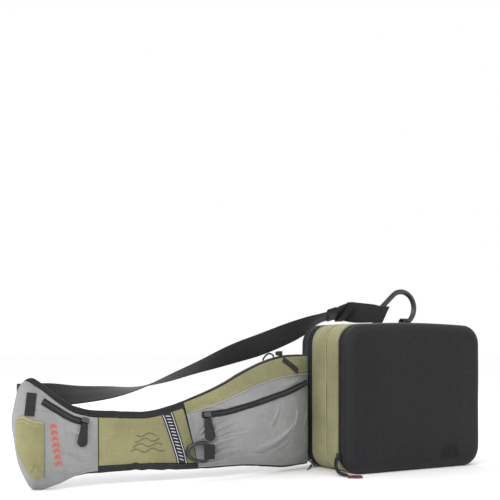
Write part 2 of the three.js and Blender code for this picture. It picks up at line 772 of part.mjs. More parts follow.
function ringTab() {
  const radius = ringRod / 2 + gap + ringWall / 2;
  const tail = 14;
  const stations = [];
  const across = new THREE.Vector3(0, 0, ringTabHeight / 2);
  const push = (distance, out) => {
    stations.push({ centre: wingPoint(distance, ringCentreHeight, out), across });
  };
  const seatOut = (distance) => clearance + ringWall / 2 + Math.max(...[-1, 0, 1].map((side) => (
    bigOut(distance, ringCentreHeight + (side * ringTabHeight) / 2))));
  push(ringDistance - tail, seatOut(ringDistance - tail));
  push(ringDistance - tail / 2, seatOut(ringDistance - tail / 2));
  for (let i = 0; i <= 6; i += 1) {
    const angle = -Math.PI / 2 + (Math.PI * i) / 6;
    push(ringDistance + radius * Math.cos(angle), barOut + radius * Math.sin(angle));
  }
  const layer = ringWall + clearance;
  push(ringDistance - tail / 2, Math.max(barOut + radius, seatOut(ringDistance - tail / 2) + layer));
  push(ringDistance - tail, seatOut(ringDistance - tail) + layer);
  return ribbon(stations, ringWall);
}
addPiece('d_ring_tab', ringTab(), 'webbing');

// Slider, cord loop and pull on the wing's upper edge near the case.
const topSliderDistance = 66;
const topLoop = { from: 78, to: 102, rise: 8, radius: 1.5 };
const topSlider = addPiece('top_zip_slider', sliderGeometry(), 'metal');
poseOnWing(
  topSlider, topSliderDistance, wingTop(topSliderDistance) + sliderWidth / 2 + clearance + 0.4,
  -padEdge / 2 - sliderThickness / 2);
function topLoopPath() {
  const steps = 10;
  return Array.from({ length: steps + 1 }, (_, i) => {
    const distance = mix(topLoop.from, topLoop.to, i / steps);
    const rise = topLoop.rise * Math.sin((Math.PI * i) / steps) ** 0.6;
    return wingPoint(distance, wingTop(distance) + gap + topLoop.radius / 2 + rise, -padEdge / 2);
  });
}
addPiece('top_zip_loop', rod(topLoopPath(), wingOut(90), topLoop.radius, 6), 'webbing');
const topPullWidth = 10;
const topPullFrom = new THREE.Vector2(topSliderDistance - 2, wingTop(topSliderDistance) - pocketInset - 2);
const topPullPath = (u) => topPullFrom.clone().add(new THREE.Vector2(-28 * u, -21 * u));
addPiece('top_zip_pull', strip(topPullPath, topPullWidth, bigOut, clearance, zipThickness, 6), 'webbing');

// Zip sliders and pulls at the case's lower left corner.
function cornerPlace(angle, y, lift) {
  const reach = caseCorner - bandInset + coilRise + lift;
  return new THREE.Vector3(
    -caseWidth / 2 + caseCorner + reach * Math.cos(radians(angle)), y,
    caseCorner + reach * Math.sin(radians(angle)));
}

function cornerSlider(name, angle, y) {
  const slider = addPiece(name, sliderGeometry(), 'metal');
  const outward = new THREE.Vector3(Math.cos(radians(angle)), 0, Math.sin(radians(angle)));
  const across = new THREE.Vector3(0, 1, 0);
  const ahead = across.clone().cross(outward);
  slider.quaternion.setFromRotationMatrix(new THREE.Matrix4().makeBasis(ahead, across, outward));
  slider.position.copy(cornerPlace(angle, y, clearance));
}
const frontZipY = frontBandStart + frontBandDepth / 2;
const rearZipY = rearBandStart + rearBandDepth / 2;
cornerSlider('front_zip_slider', 188, frontZipY);
cornerSlider('rear_zip_slider', 222, rearZipY);

const floorLift = gap;
function floorTab(name, rows, width, thickness, finish) {
  const stations = rows.map(({ x, y, z, turn }) => ({
    centre: new THREE.Vector3(-caseWidth / 2 + x, y, z + floorLift + thickness / 2),
    across: new THREE.Vector3(Math.sin(radians(turn)), Math.cos(radians(turn)), 0).setLength(width / 2),
  }));
  return addPiece(name, ribbon(stations, thickness), finish);
}
floorTab('front_zip_pull', [
  { x: -6.15, y: frontZipY, z: 25.5, turn: 0 },
  { x: -6.5, y: frontZipY, z: 12, turn: 5 },
  { x: -7, y: frontZipY - 6, z: 3, turn: 45 },
  { x: -8, y: frontZipY - 19, z: 0.6, turn: 84 },
  { x: -9.5, y: frontZipY - 34, z: 0.6, turn: 84 },
], 9, zipThickness, 'webbing');
floorTab('rear_zip_pull', [
  { x: 0.1, y: rearZipY - 4, z: 4.4, turn: 45 },
  { x: -3.2, y: rearZipY - 7.6, z: 1.2, turn: 45 },
  { x: -9, y: rearZipY - 13, z: 0.3, turn: 45 },
  { x: -20, y: rearZipY - 25, z: 0.3, turn: 45 },
], 15, zipThickness + 0.4, 'webbing');

const grip = addPiece('front_zip_grip', pullGeometry(24, 10, 14), 'redRubber');
grip.position.set(-caseWidth / 2 - 12, frontZipY - 38.7, floorLift);
grip.rotateZ(radians(62));

// Carabiner: a pear of round steel rod in an upright plane behind the case. It is drawn with its
// narrow end at the origin and its wide end along +X, then tilted and placed by its group.
const hookY = rearFace + gap + anchorWall + 2 * clearance + hookRod / 2;
const hookShare = 0.1369;
const hookFromMiddle = caseWidth * hookShare;
const hookRise = 14;
const hookPlace = new THREE.Vector3(hookFromMiddle, hookY, caseHeight + hookRise);
const narrowRadius = (hookNarrow - hookRod) / 2;
const wideRadius = (hookWide - hookRod) / 2;
const hookSpan = hookLength - hookRod - narrowRadius - wideRadius;
const hookLean = Math.asin((wideRadius - narrowRadius) / hookSpan);
const legAhead = new THREE.Vector3(Math.cos(hookLean), 0, -Math.sin(hookLean));
const legOut = new THREE.Vector3(-Math.sin(hookLean), 0, -Math.cos(hookLean));
const legStart = legOut.clone().multiplyScalar(narrowRadius);
const pivotReach = 8;
const tongueReach = 5.6;
const noseLength = 7;
const gateLength = hookSpan * Math.cos(hookLean) - pivotReach - gateGap - noseLength;
const pivot = legStart.clone().addScaledVector(legAhead, pivotReach);
const nose = pivot.clone().addScaledVector(legAhead, gateLength + gateGap);
const planeNormal = new THREE.Vector3(0, 1, 0);

function hookArc(centreX, radius, from, to, steps) {
  return Array.from({ length: steps + 1 }, (_, i) => {
    const angle = radians(mix(from, to, i / steps));
    return new THREE.Vector3(centreX + radius * Math.cos(angle), 0, radius * Math.sin(angle));
  });
}
const leanDegrees = THREE.MathUtils.radToDeg(hookLean);
const hookPath = [
  nose,
  ...hookArc(hookSpan, wideRadius, -90 - leanDegrees, 90 + leanDegrees, 12),
  ...hookArc(0, narrowRadius, 90 + leanDegrees, 270 - leanDegrees, 8),
  pivot.clone().addScaledVector(legAhead, -tongueReach),
];

// Cylinder across the hook's plane, or along a leg, as a solid.
function barSolid(radius, length, centre, direction, sides) {
  const geometry = new THREE.CylinderGeometry(radius, radius, length, sides);
  geometry.applyQuaternion(new THREE.Quaternion().setFromUnitVectors(planeNormal, direction));
  geometry.translate(...centre.toArray());
  return toSolid(geometry);
}

function boxSolid(length, width, height, centre) {
  const geometry = new THREE.BoxGeometry(length, width, height);
  geometry.applyQuaternion(new THREE.Quaternion().setFromUnitVectors(new THREE.Vector3(1, 0, 0), legAhead));
  geometry.translate(...centre.toArray());
  return toSolid(geometry);
}

const hook = new THREE.Group();
hook.position.copy(hookPlace);
hook.rotation.y = -radians(hookTilt);
part.add(hook);

function hookBody() {
  const tongueWidth = gateRod - 1;
  const tongueLength = tongueReach + 1;
  const tongue = boxSolid(
    tongueLength, tongueThickness, tongueWidth,
    pivot.clone().addScaledVector(legAhead, -tongueLength / 2));
  const eye = barSolid(tongueWidth / 2, tongueThickness, pivot, planeNormal, 12);
  const hole = barSolid(pivotPin / 2 + runningGap, tongueThickness * 2, pivot, planeNormal, 12);
  const body = toSolid(rod(hookPath, planeNormal, hookRod / 2, 10));
  return fromSolid(body.add(tongue).add(eye).subtract(hole));
}

function hookGate() {
  const bar = barSolid(
    gateRod / 2, gateLength + gateRod / 2 - 0.5,
    pivot.clone().addScaledVector(legAhead, gateLength / 2 - gateRod / 4 + 0.25), legAhead, 10);
  const slot = boxSolid(
    gateRod + 2 * runningGap + 2, tongueThickness + 2 * runningGap, gateRod * 2, pivot);
  const pin = barSolid(pivotPin / 2, gateRod - 0.6, pivot, planeNormal, 10);
  return fromSolid(bar.subtract(slot).add(pin));
}
addPiece('carabiner', hookBody(), 'metal', hook);
addPiece('carabiner_gate', hookGate(), 'metal', hook);

// Web loop on the rear shell's back that holds the carabiner's wide end.
const anchorTail = 46;
const anchorOverRod = 2.04;
const anchorTop = hookPlace.z + hookSpan * Math.sin(radians(hookTilt)) - wideRadius + anchorOverRod;
const anchorRise = hookRod / 2 + anchorWall / 2 + 2.6;
const anchorPastMiddle = 6.67;
const anchorFromHook = hookSpan * Math.cos(radians(hookTilt)) + anchorPastMiddle;

function anchorLoop() {
  const x = hookPlace.x + anchorFromHook;
  const tailInset = caseHeight - anchorTop + anchorTail;
  const sink = (faceCrown * (caseHeight / 4 - tailInset)) / (caseHeight / 4 - rearFillet);
  const shellSide = rearFace + gap + anchorWall / 2;
  const tailSide = shellSide - sink;
  const reach = hookY - shellSide;
  const across = new THREE.Vector3(anchorWidth / 2, 0, 0);
  const stations = [];
  const push = (y, drop) => stations.push({ centre: new THREE.Vector3(x, y, anchorTop - drop), across });
  push(tailSide, anchorTail);
  push(shellSide, 6);
  for (let i = 0; i <= 8; i += 1) {
    const angle = Math.PI - (Math.PI * i) / 8;
    push(hookY + reach * Math.cos(angle), -anchorRise * Math.sin(angle));
  }
  push(hookY + reach - 1, 10);
  push(shellSide + 2 * anchorWall + 1, 30);
  push(shellSide + anchorWall + gap, 36);
  push(tailSide + anchorWall + gap, anchorTail);
  return ribbon(stations, anchorWall);
}
addPiece('anchor_loop', anchorLoop(), 'webbing');

// Strap: laps the back of the wing's end, folds round its tip, runs behind the wing with a half
// twist and ends in a loop through the carabiner's narrow end.
const lapOut = -padEdge - gap - bindingWall - gap - strapThickness / 2;
const lapSwell = padThickness - padEdge - bindingWall;
const lapHeight = wingHeight * 0.69;
const lapDrop = 0.42;
const foldRadius = 4.5;
const foldDistance = wingLength - 14;
const strapStart = wingPoint(foldDistance - 20, lapHeight, lapOut - 2 * foldRadius);
const loopRadius = hookRod / 2 + clearance + strapThickness / 2;
const strapEndX = -12;
const strapEndRise = 25;
const loopFromHook = 4.3;
const loopRise = 21.5;
const strapEnd = new THREE.Vector3(strapEndX, hookY, caseHeight + strapEndRise);
const strapRows = [
  { at: 0, sag: 0, bow: 0, turn: 0, lean: 0 },
  { at: 0.06, sag: 0.2, bow: 0.3, turn: 28, lean: 0 },
  { at: 0.126, sag: 0.47, bow: 0.52, turn: 47, lean: -2 },
  { at: 0.21, sag: 0.72, bow: 0.75, turn: 64, lean: -6 },
  { at: 0.29, sag: 0.87, bow: 0.9, turn: 90, lean: -10 },
  { at: 0.38, sag: 0.82, bow: 1, turn: 114, lean: -14 },
  { at: 0.474, sag: 0.67, bow: 1, turn: 130, lean: -17 },
  { at: 0.58, sag: 0.49, bow: 0.95, turn: 158, lean: -20 },
  { at: 0.67, sag: 0.38, bow: 0.85, turn: 178, lean: -22 },
  { at: 0.75, sag: 0.2, bow: 0.7, turn: 172, lean: -22 },
  { at: 0.82, sag: 0.02, bow: 0.55, turn: 150, lean: -20 },
  { at: 0.88, sag: -0.18, bow: 0.4, turn: 122, lean: -16 },
  { at: 0.94, sag: -0.24, bow: 0.2, turn: 138, lean: -6 },
  { at: 1, sag: 0, bow: 0, turn: 180, lean: 8 },
];
const strapCurve = (column) => tableCurve(strapRows, 'at', column);
const strapShape = {
  sag: strapCurve('sag'), bow: strapCurve('bow'), turn: strapCurve('turn'), lean: strapCurve('lean'),
};

function halfWidth(turn, lean, width) {
  return new THREE.Vector3(
    Math.sin(radians(lean)) * Math.cos(radians(turn)),
    Math.sin(radians(turn)),
    Math.cos(radians(lean)) * Math.cos(radians(turn)),
  ).setLength(width / 2);
}

function strapStations() {
  const stations = [];
  const upright = halfWidth(0, 0, strapWidth);
  for (const share of [1, 0.6, 0.25, 0]) {
    const out = lapOut - lapSwell * Math.min(4 * share, 1);
    const distance = foldDistance - strapLap * share;
    const slope = lapDrop * Math.min(4 * share, 1);
    const along = wingPoint(distance + 1, 0, 0).sub(wingPoint(distance, 0, 0));
    const across = new THREE.Vector3(0, 0, 1).addScaledVector(along, -slope).setLength(strapWidth / 2);
    const height = lapHeight - lapDrop * strapLap * share;
    stations.push({ centre: wingPoint(distance, height, out), across });
  }
  for (let i = 1; i <= 5; i += 1) {
    const angle = (Math.PI * i) / 6;
    stations.push({
      centre: wingPoint(
        foldDistance + foldRadius * Math.sin(angle), lapHeight,
        lapOut - foldRadius * (1 - Math.cos(angle))),
      across: upright,
    });
  }
  stations.push({ centre: wingPoint(foldDistance, lapHeight, lapOut - 2 * foldRadius), across: upright });
  const steps = 44;
  for (let i = 0; i <= steps; i += 1) {
    const at = i / steps;
    const centre = strapStart.clone().lerp(strapEnd, at);
    centre.y += strapBow * strapShape.bow(at);
    centre.z -= strapSag * strapShape.sag(at);
    stations.push({ centre, across: halfWidth(strapShape.turn(at), strapShape.lean(at), strapWidth) });
  }
  const fold = new THREE.Vector3(hookPlace.x + loopFromHook, hookY, caseHeight + loopRise);
  const foldAcross = halfWidth(180, 29, strapWidth - 5);
  const entry = halfWidth(180, 18, strapWidth - 1);
  const lift = (share) => mix(strapEnd.z, fold.z, share);
  const place = (x, y, z, across) => stations.push({ centre: new THREE.Vector3(x, y, z), across });
  place(fold.x - 30, hookY - loopRadius * 0.75, lift(0.4), entry);
  place(fold.x - 18, hookY - loopRadius, lift(0.8), foldAcross);
  for (let i = 0; i <= 8; i += 1) {
    const angle = -Math.PI / 2 + (Math.PI * i) / 8;
    place(fold.x + loopRadius * Math.cos(angle), hookY + loopRadius * Math.sin(angle), fold.z, foldAcross);
  }
  place(fold.x - 18, hookY + loopRadius, lift(0.8), foldAcross);
  place(fold.x - 34, hookY + loopRadius * 0.75, lift(0.35), entry);
  place(strapEnd.x - 6, hookY + strapThickness + 1.5, lift(-0.1), entry);
  return stations;
}
addPiece('strap', ribbon(strapStations(), strapThickness), 'webbing');

// The origin is under the middle of the whole bag, on the surface that it stands on.
part.updateMatrixWorld(true);
const reach = new THREE.Box3().setFromObject(part, true);
const middle = reach.getCenter(new THREE.Vector3());
part.position.set(-middle.x, -middle.y, -reach.min.z);
part.updateMatrixWorld(true);

export default part;
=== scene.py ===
import math

import bpy
import numpy as np
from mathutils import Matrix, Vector


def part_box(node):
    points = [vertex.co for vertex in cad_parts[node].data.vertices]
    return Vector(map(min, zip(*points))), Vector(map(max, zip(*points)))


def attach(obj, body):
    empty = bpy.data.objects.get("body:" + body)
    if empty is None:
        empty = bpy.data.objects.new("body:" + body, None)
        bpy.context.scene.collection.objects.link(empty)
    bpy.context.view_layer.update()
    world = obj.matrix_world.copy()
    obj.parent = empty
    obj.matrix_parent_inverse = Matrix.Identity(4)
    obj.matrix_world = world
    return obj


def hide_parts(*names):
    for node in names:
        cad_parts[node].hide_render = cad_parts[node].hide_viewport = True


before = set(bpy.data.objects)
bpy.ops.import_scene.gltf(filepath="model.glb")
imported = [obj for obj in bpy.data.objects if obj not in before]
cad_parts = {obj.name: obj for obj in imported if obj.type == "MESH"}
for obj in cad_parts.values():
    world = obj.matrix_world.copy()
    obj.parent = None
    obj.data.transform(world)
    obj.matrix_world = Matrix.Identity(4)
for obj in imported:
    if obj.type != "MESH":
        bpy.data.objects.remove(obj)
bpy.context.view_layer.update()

RNG_SEED = 7

# Sizes that the solids were made with
CASE_W, CASE_H, CASE_R = 290.0, 250.0, 34.0
TOP_BOW = 3.0
FRONT, FRONT_BAND, GUSSET, REAR_BAND, REAR_SHELL, REAR = -76.0, -57.0, -41.0, 37.0, 51.0, 76.0
WING_L, WING_H, WING_TURN = 525.0, 200.0, math.radians(31.5)
POCKET_RIM = 3.9
BIG_L, BIG_SLANT, BIG_DEPTH = 245.0, 26.0, 26.0
END_L, END_DEPTH, OVERHANG = 128.0, 24.0, 3.0
PAD, PAD_EDGE, LIP = 12.0, 5.0, 10.0
END_START = WING_L - END_L
END_SPAN = END_L - 1.5
END_TIP = END_START + END_SPAN
PAD_TIP = WING_L - 6
POCKET_INSET, PANEL_INSET, YOKE, TIP_HEIGHT = 3.0, 10.6, 0.83, 103.0
TRIM_GAP, TRIM_W, RIM_STEP = 20, 18, 2.4
SHELL_WALL, CROWN, CROWN_REACH, FACE_INSET = 3.0, 2.0, CASE_H / 4, 108
FRONT_FILLET, REAR_FILLET = 15.0, 9.0
STRAP_W, STRAP_T = 38.0, 1.6
HOOK_X, HOOK_Y, HOOK_Z, HOOK_SPAN, HOOK_TILT = CASE_W * 0.1369, 84.0, CASE_H + 14, 54.0, 24

# The photograph's view: place and turn of the camera, and its focal length in the photograph's pixels
CAMERA_AT, CAMERA_TURN, CAMERA_SHIFT = (-990.5, -1265.2, 215), -29, 0.19
SENSOR, FOCAL_PIXELS, PHOTO_PIXELS = 36, 887, 500
FLOOR_REACH = 14.0

shell_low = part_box("front_shell")[0]
ORIGIN = np.array([shell_low[0] + CASE_W / 2000, shell_low[1] - FRONT / 1000, shell_low[2]])


def place(points):
    return np.asarray(points, float) / 1000 + ORIGIN


# Camera, light and floor
def look():
    scene = bpy.context.scene
    camera = bpy.data.objects.new("camera", bpy.data.cameras.new("camera"))
    scene.collection.objects.link(camera)
    scene.camera = camera
    camera.location = place(CAMERA_AT)
    camera.rotation_euler = (math.pi / 2, 0, math.radians(CAMERA_TURN))
    camera.data.sensor_width = SENSOR
    camera.data.lens = SENSOR * FOCAL_PIXELS / PHOTO_PIXELS
    camera.data.shift_y = CAMERA_SHIFT
    camera.data.clip_start, camera.data.clip_end = 0.01, 100
    scene.view_settings.view_transform = "Standard"
    scene.view_settings.look = "None"

    world = bpy.data.worlds.new("studio")
    world.use_nodes = True
    world.node_tree.nodes["Background"].inputs[0].default_value = (1.0, 1.0, 1.0, 1)
    world.node_tree.nodes["Background"].inputs[1].default_value = 1.0
    scene.world = world

    def softbox(name, at, to, size, watts):
        data = bpy.data.lights.new(name, "AREA")
        data.shape, data.size, data.energy = "DISK", size, watts
        lamp = bpy.data.objects.new(name, data)
        scene.collection.objects.link(lamp)
        lamp.location = at
        direction = np.array(to) - np.array(at)
        lamp.rotation_euler = Vector(direction).to_track_quat("-Z", "Y").to_euler()

    softbox("key", (-2.0, -1.2, 1.5), (0, 0, 0.1), 1.0, 36)
    softbox("fill", (1.6, -1.6, 1.0), (0.1, 0, 0.12), 1.4, 5)
    softbox("back", (0.4, 1.9, 1.6), (0, 0, 0.1), 1.4, 16)

    mesh = bpy.data.meshes.new("floor")
    r = FLOOR_REACH
    mesh.from_pydata([(-r, -r, 0), (r, -r, 0), (r, r, 0), (-r, r, 0)], [], [(0, 1, 2, 3)])
    floor = bpy.data.objects.new("floor", mesh)
    scene.collection.objects.link(floor)
    mat = bpy.data.materials.new("floor")
    mat.use_nodes = True
    bsdf = mat.node_tree.nodes["Principled BSDF"]
    bsdf.inputs["Base Color"].default_value = (0.985, 0.985, 0.985, 1)
    bsdf.inputs["Roughness"].default_value = 1.0
    bsdf.inputs["Specular IOR Level"].default_value = 0.0
    mesh.materials.append(mat)


look()


# Materials
class Shader:
    """Small helper round a material's node tree."""

    def __init__(self, name):
        self.mat = bpy.data.materials.new(name)
        self.mat.use_nodes = True
        self.tree = self.mat.node_tree
        self.bsdf = self.tree.nodes["Principled BSDF"]

    def node(self, kind, values=None, **settings):
        made = self.tree.nodes.new(kind)
        for key, value in settings.items():
            setattr(made, key, value)
        for key, value in (values or {}).items():
            if isinstance(value, bpy.types.NodeSocket):
                self.tree.links.new(value, made.inputs[key])
            else:
                made.inputs[key].default_value = value
        return made

    def math(self, operation, a, b=0.0):
        made = self.node("ShaderNodeMath", {0: a, 1: b}, operation=operation)
        return made.outputs[0]

    def noise(self, vector, scale, detail=3.0, rough=0.55):
        made = self.node("ShaderNodeTexNoise", {"Vector": vector, "Scale": scale, "Detail": detail,
                                                "Roughness": rough})
        return made.outputs["Fac"]

    def remap(self, value, low, high, to_low, to_high):
        made = self.node("ShaderNodeMapRange", {0: value, 1: low, 2: high, 3: to_low, 4: to_high})
        return made.outputs[0]

    def mix(self, share, a, b):
        made = self.node("ShaderNodeMix", data_type="RGBA")
        for index, value in ((0, share), (6, a), (7, b)):
            if isinstance(value, bpy.types.NodeSocket):
                self.tree.links.new(value, made.inputs[index])
            else:
                made.inputs[index].default_value = value
        return made.outputs[2]

    def scaled(self, vector, factors):
        made = self.node("ShaderNodeVectorMath", {0: vector}, operation="MULTIPLY")
        made.inputs[1].default_value = factors
        return made.outputs[0]

    def bump(self, height, strength, distance, normal=None):
        values = {"Height": height, "Strength": strength, "Distance": distance}
        if normal is not None:
            values["Normal"] = normal
        return self.node("ShaderNodeBump", values).outputs["Normal"]

    def to(self, name, value):
        self.tree.links.new(value, self.bsdf.inputs[name])


def linear(hex_colour):
    values = [int(hex_colour[i:i + 2], 16) / 255 for i in (1, 3, 5)]
    return [v / 12.92 if v <= 0.04045 else ((v + 0.055) / 1.055) ** 2.4 for v in values] + [1.0]


def cloth(name, dark, light, thread=0.9, rough=0.85, sheen=0.25, tint=None):
    """Woven cloth: plain weave from the piece's own flat coordinates, uneven threads, soft blotches."""
    dark, light, slub = linear(dark), linear(light), 0.35
    s = Shader(name)
    uv = s.node("ShaderNodeUVMap", uv_map="cloth").outputs[0]
    spot = s.node("ShaderNodeTexCoord").outputs["Object"]
    split = s.node("ShaderNodeSeparateXYZ", {0: uv})
    turns = math.pi * 1000 / thread
    across = s.math("SINE", s.math("MULTIPLY", split.outputs[0], turns))
    along = s.math("SINE", s.math("MULTIPLY", split.outputs[1], turns))
    weave = s.math("MULTIPLY", across, along)
    threads_u = s.noise(s.scaled(uv, (28, 620, 1)), 1.0, 2.0)
    threads_v = s.noise(s.scaled(uv, (620, 28, 1)), 1.0, 2.0)
    uneven = s.math("ADD", s.math("MULTIPLY", threads_u, 0.5), s.math("MULTIPLY", threads_v, 0.5))
    large = s.noise(spot, 9.0, 4.0)
    share = s.math("ADD", s.math("MULTIPLY", uneven, slub), s.math("MULTIPLY", large, 1 - slub))
    share = s.remap(share, 0.3, 0.7, 0.0, 1.0)
    colour = s.mix(share, dark, light)
    colour = s.mix(s.remap(weave, -1, 1, 0.14, 0.0), colour, [c * 0.55 for c in dark[:3]] + [1])
    if tint is not None:
        colour = s.mix(s.remap(s.noise(spot, 26.0, 3.0), 0.55, 0.75, 0.0, 0.35), colour, linear(tint))
    s.to("Base Color", colour)
    s.to("Roughness", s.remap(large, 0.3, 0.7, rough - 0.08, min(rough + 0.06, 1)))
    normal = s.bump(weave, 0.5, 0.00016)
    normal = s.bump(uneven, 0.5, 0.0004, normal)
    normal = s.bump(s.noise(spot, 120.0, 4.0), 0.35, 0.0009, normal)
    normal = s.bump(s.noise(spot, 34.0, 5.0, 0.6), 0.5, 0.006, normal)
    s.to("Normal", normal)
    s.bsdf.inputs["Sheen Weight"].default_value = sheen
    s.bsdf.inputs["Sheen Roughness"].default_value = 0.5
    s.bsdf.inputs["Specular IOR Level"].default_value = 0.25
    return s.mat


def webbing(name, dark, light):
    """Flat webbing: fine ribs across the band, slanted in a zigzag."""
    dark, light, rib, rough = linear(dark), linear(light), 2.4, 0.78
    s = Shader(name)
    uv = s.node("ShaderNodeUVMap", uv_map="cloth").outputs[0]
    spot = s.node("ShaderNodeTexCoord").outputs["Object"]
    split = s.node("ShaderNodeSeparateXYZ", {0: uv})
    zigzag = s.node("ShaderNodeMath", {0: s.math("MULTIPLY", split.outputs[1], 1000 / 9.5), 1: 1.0},
                    operation="PINGPONG")
    slant = s.math("ADD", s.math("MULTIPLY", split.outputs[0], 2 * math.pi * 1000 / rib),
                   s.math("MULTIPLY", zigzag.outputs[0], 6.0))
    ribs = s.math("SINE", slant)
    uneven = s.noise(s.scaled(uv, (60, 500, 1)), 1.0, 3.0)
    large = s.noise(spot, 14.0, 4.0)
    colour = s.mix(s.remap(s.math("ADD", s.math("MULTIPLY", ribs, 0.2), large), 0.2, 0.85, 0.0, 1.0), dark,
                   light)
    s.to("Base Color", colour)
    s.to("Roughness", s.remap(uneven, 0.3, 0.7, rough - 0.08, rough + 0.08))
    normal = s.bump(ribs, 0.6, 0.0004)
    normal = s.bump(uneven, 0.5, 0.0003, normal)
    s.to("Normal", normal)
    s.bsdf.inputs["Sheen Weight"].default_value = 0.15
    s.bsdf.inputs["Specular IOR Level"].default_value = 0.35
    return s.mat


def moulded(name, dark, light, edge_highlight, grain=900.0, rough=0.8, depth=0.0005, sheen=0.12):
    """Moulded foam or rubber with a fine face, and a painted highlight that makes sharp edges a little
    lighter.
    """
    dark, light, edge_highlight = linear(dark), linear(light), linear(edge_highlight)
    s = Shader(name)
    spot = s.node("ShaderNodeTexCoord").outputs["Object"]
    fine = s.noise(spot, grain, 2.0, 0.6)
    mid = s.noise(spot, 160.0, 4.0)
    large = s.noise(spot, 8.0, 4.0)
    share = s.math("ADD", s.math("MULTIPLY", fine, 0.45),
                   s.math("ADD", s.math("MULTIPLY", large, 0.3), s.math("MULTIPLY", mid, 0.25)))
    colour = s.mix(s.remap(share, 0.35, 0.65, 0.0, 1.0), dark, light)
    # painted highlight: sharp edges are mixed towards a lighter edge colour, broken up by noise
    edge = s.node("ShaderNodeNewGeometry").outputs["Pointiness"]
    edge_highlight_share = s.math("MULTIPLY", s.remap(edge, 0.505, 0.56, 0.0, 1.0), s.remap(mid, 0.35, 0.6, 0.2, 0.8))
    s.to("Base Color", s.mix(edge_highlight_share, colour, edge_highlight))
    s.to("Roughness", s.remap(mid, 0.3, 0.7, rough - 0.1, rough + 0.08))
    normal = s.bump(fine, 0.55, depth)
    normal = s.bump(mid, 0.3, depth * 2, normal)
    s.to("Normal", normal)
    s.bsdf.inputs["Sheen Weight"].default_value = sheen
    s.bsdf.inputs["Specular IOR Level"].default_value = 0.3
    return s.mat


def steel(name, colour, rough):
    colour = linear(colour)
    s = Shader(name)
    spot = s.node("ShaderNodeTexCoord").outputs["Object"]
    smear = s.noise(spot, 60.0, 4.0)
    s.to("Base Color", s.mix(smear, [c * 0.82 for c in colour[:3]] + [1], colour))
    s.to("Roughness", s.remap(smear, 0.3, 0.75, rough - 0.07, rough + 0.12))
    s.to("Normal", s.bump(s.noise(spot, 900.0, 2.0), 0.08, 0.0002))
    s.bsdf.inputs["Metallic"].default_value = 1.0
    return s.mat


def air_mesh(name, dark, light):
    """Spacer mesh: rows of small round holes over a dark ground."""
    dark, light = linear(dark), linear(light)
    s = Shader(name)
    uv = s.node("ShaderNodeUVMap", uv_map="cloth").outputs[0]
    cells = s.node("ShaderNodeTexVoronoi", {"Vector": uv, "Scale": 330.0, "Randomness": 0.25},
                   feature="F1").outputs["Distance"]
    hole = s.remap(cells, 0.2, 0.42, 1.0, 0.0)
    large = s.noise(s.node("ShaderNodeTexCoord").outputs["Object"], 12.0, 4.0)
    s.to("Base Color", s.mix(hole, s.mix(large, dark, light), [c * 0.3 for c in dark[:3]] + [1]))
    s.to("Normal", s.bump(hole, -0.8, 0.0008))
    s.bsdf.inputs["Roughness"].default_value = 0.95
    s.bsdf.inputs["Sheen Weight"].default_value = 0.3
    return s.mat


MATS = {
    # for the moulded finishes the third colour is the painted edge highlight
    "foam": moulded("foam", "#0d0d0f", "#1c1c1f", "#38383d", sheen=0.05),
    "tape": cloth("tape", "#141416", "#242427", thread=0.7, rough=0.75, sheen=0.1),
    "webbing": webbing("webbing", "#101012", "#212124"),
    "olive": cloth("olive", "#6c6a49", "#96936b", thread=1.1, tint="#817e5a"),
    "grey": cloth("grey", "#747574", "#999a99", thread=0.8, tint="#868785"),
    "mesh": air_mesh("mesh", "#161618", "#2a2a2d"),
    "rubber": moulded("rubber", "#0a0a0b", "#151517", "#2a2a2d", 500.0, 0.55, 0.0002, 0.0),
    "red_rubber": moulded("red_rubber", "#3c1413", "#5e1f1c", "#7c3a35", 500.0, 0.5, 0.0002, 0.0),
    "plate": moulded("plate", "#040405", "#09090a", "#17171a", 700.0, 0.7, 0.0002, 0.0),
    "metal": steel("metal", "#4a4b4e", 0.34),
    "piping": cloth("piping", "#8e8b62", "#aaa67c", thread=0.7, rough=0.8),
    "grey_piping": cloth("grey_piping", "#858684", "#a5a6a4", thread=0.7, rough=0.8),
    "thread": cloth("thread", "#9b9770", "#c9c5a0", thread=0.5),
    "dark_thread": cloth("dark_thread", "#2c2c2f", "#47474b", thread=0.5),
    "white_thread": cloth("white_thread", "#b9bcc4", "#dfe2ea", thread=0.5),
    "brown_thread": cloth("brown_thread", "#4d4330", "#6f6248", thread=0.5),
    "dark_metal": steel("dark_metal", "#5d5f62", 0.36),
    "red_thread": cloth("red_thread", "#c23a2c", "#e8604c", thread=0.5),
}


# Shapes
def ease(t):
    t = np.clip(t, 0, 1)
    return t * t * (3 - 2 * t)


def table_curve(*rows):
    """Smooth curve through [share, value] rows, the same one as the solids use."""
    xs, ys = (np.array(column, float) for column in zip(*rows))
    last = len(xs) - 1

    def at(share):
        share = np.clip(share, xs[0], xs[-1])
        i = np.clip(np.searchsorted(xs, share, side="right"), 1, last)
        t0, t1, v0, v1 = xs[i - 1], xs[i], ys[i - 1], ys[i]
        first, end = i == 1, i == last
        before, v_before = np.where(first, t1, xs[i - 2]), np.where(first, v1, ys[i - 2])
        after = np.where(end, t0, xs[np.minimum(i + 1, last)])
        v_after = np.where(end, v0, ys[np.minimum(i + 1, last)])
        w_before, w_after = (t1 - t0) / 2 / (t0 - before), (t1 - t0) / 2 / (after - t1)
        p = (share - t0) / (t1 - t0)
        pp, ppp = p * p, p * p * p
        return (v_before * (-w_before * ppp + 2 * w_before * pp - w_before * p)
                + v0 * ((1 + w_before) * ppp + (-1.5 - 2 * w_before) * pp + (-0.5 + w_before) * p + 1)
                + v1 * ((-1 - w_after) * ppp + (1.5 + w_after) * pp + 0.5 * p)
                + v_after * (w_after * ppp - w_after * pp))
    return at


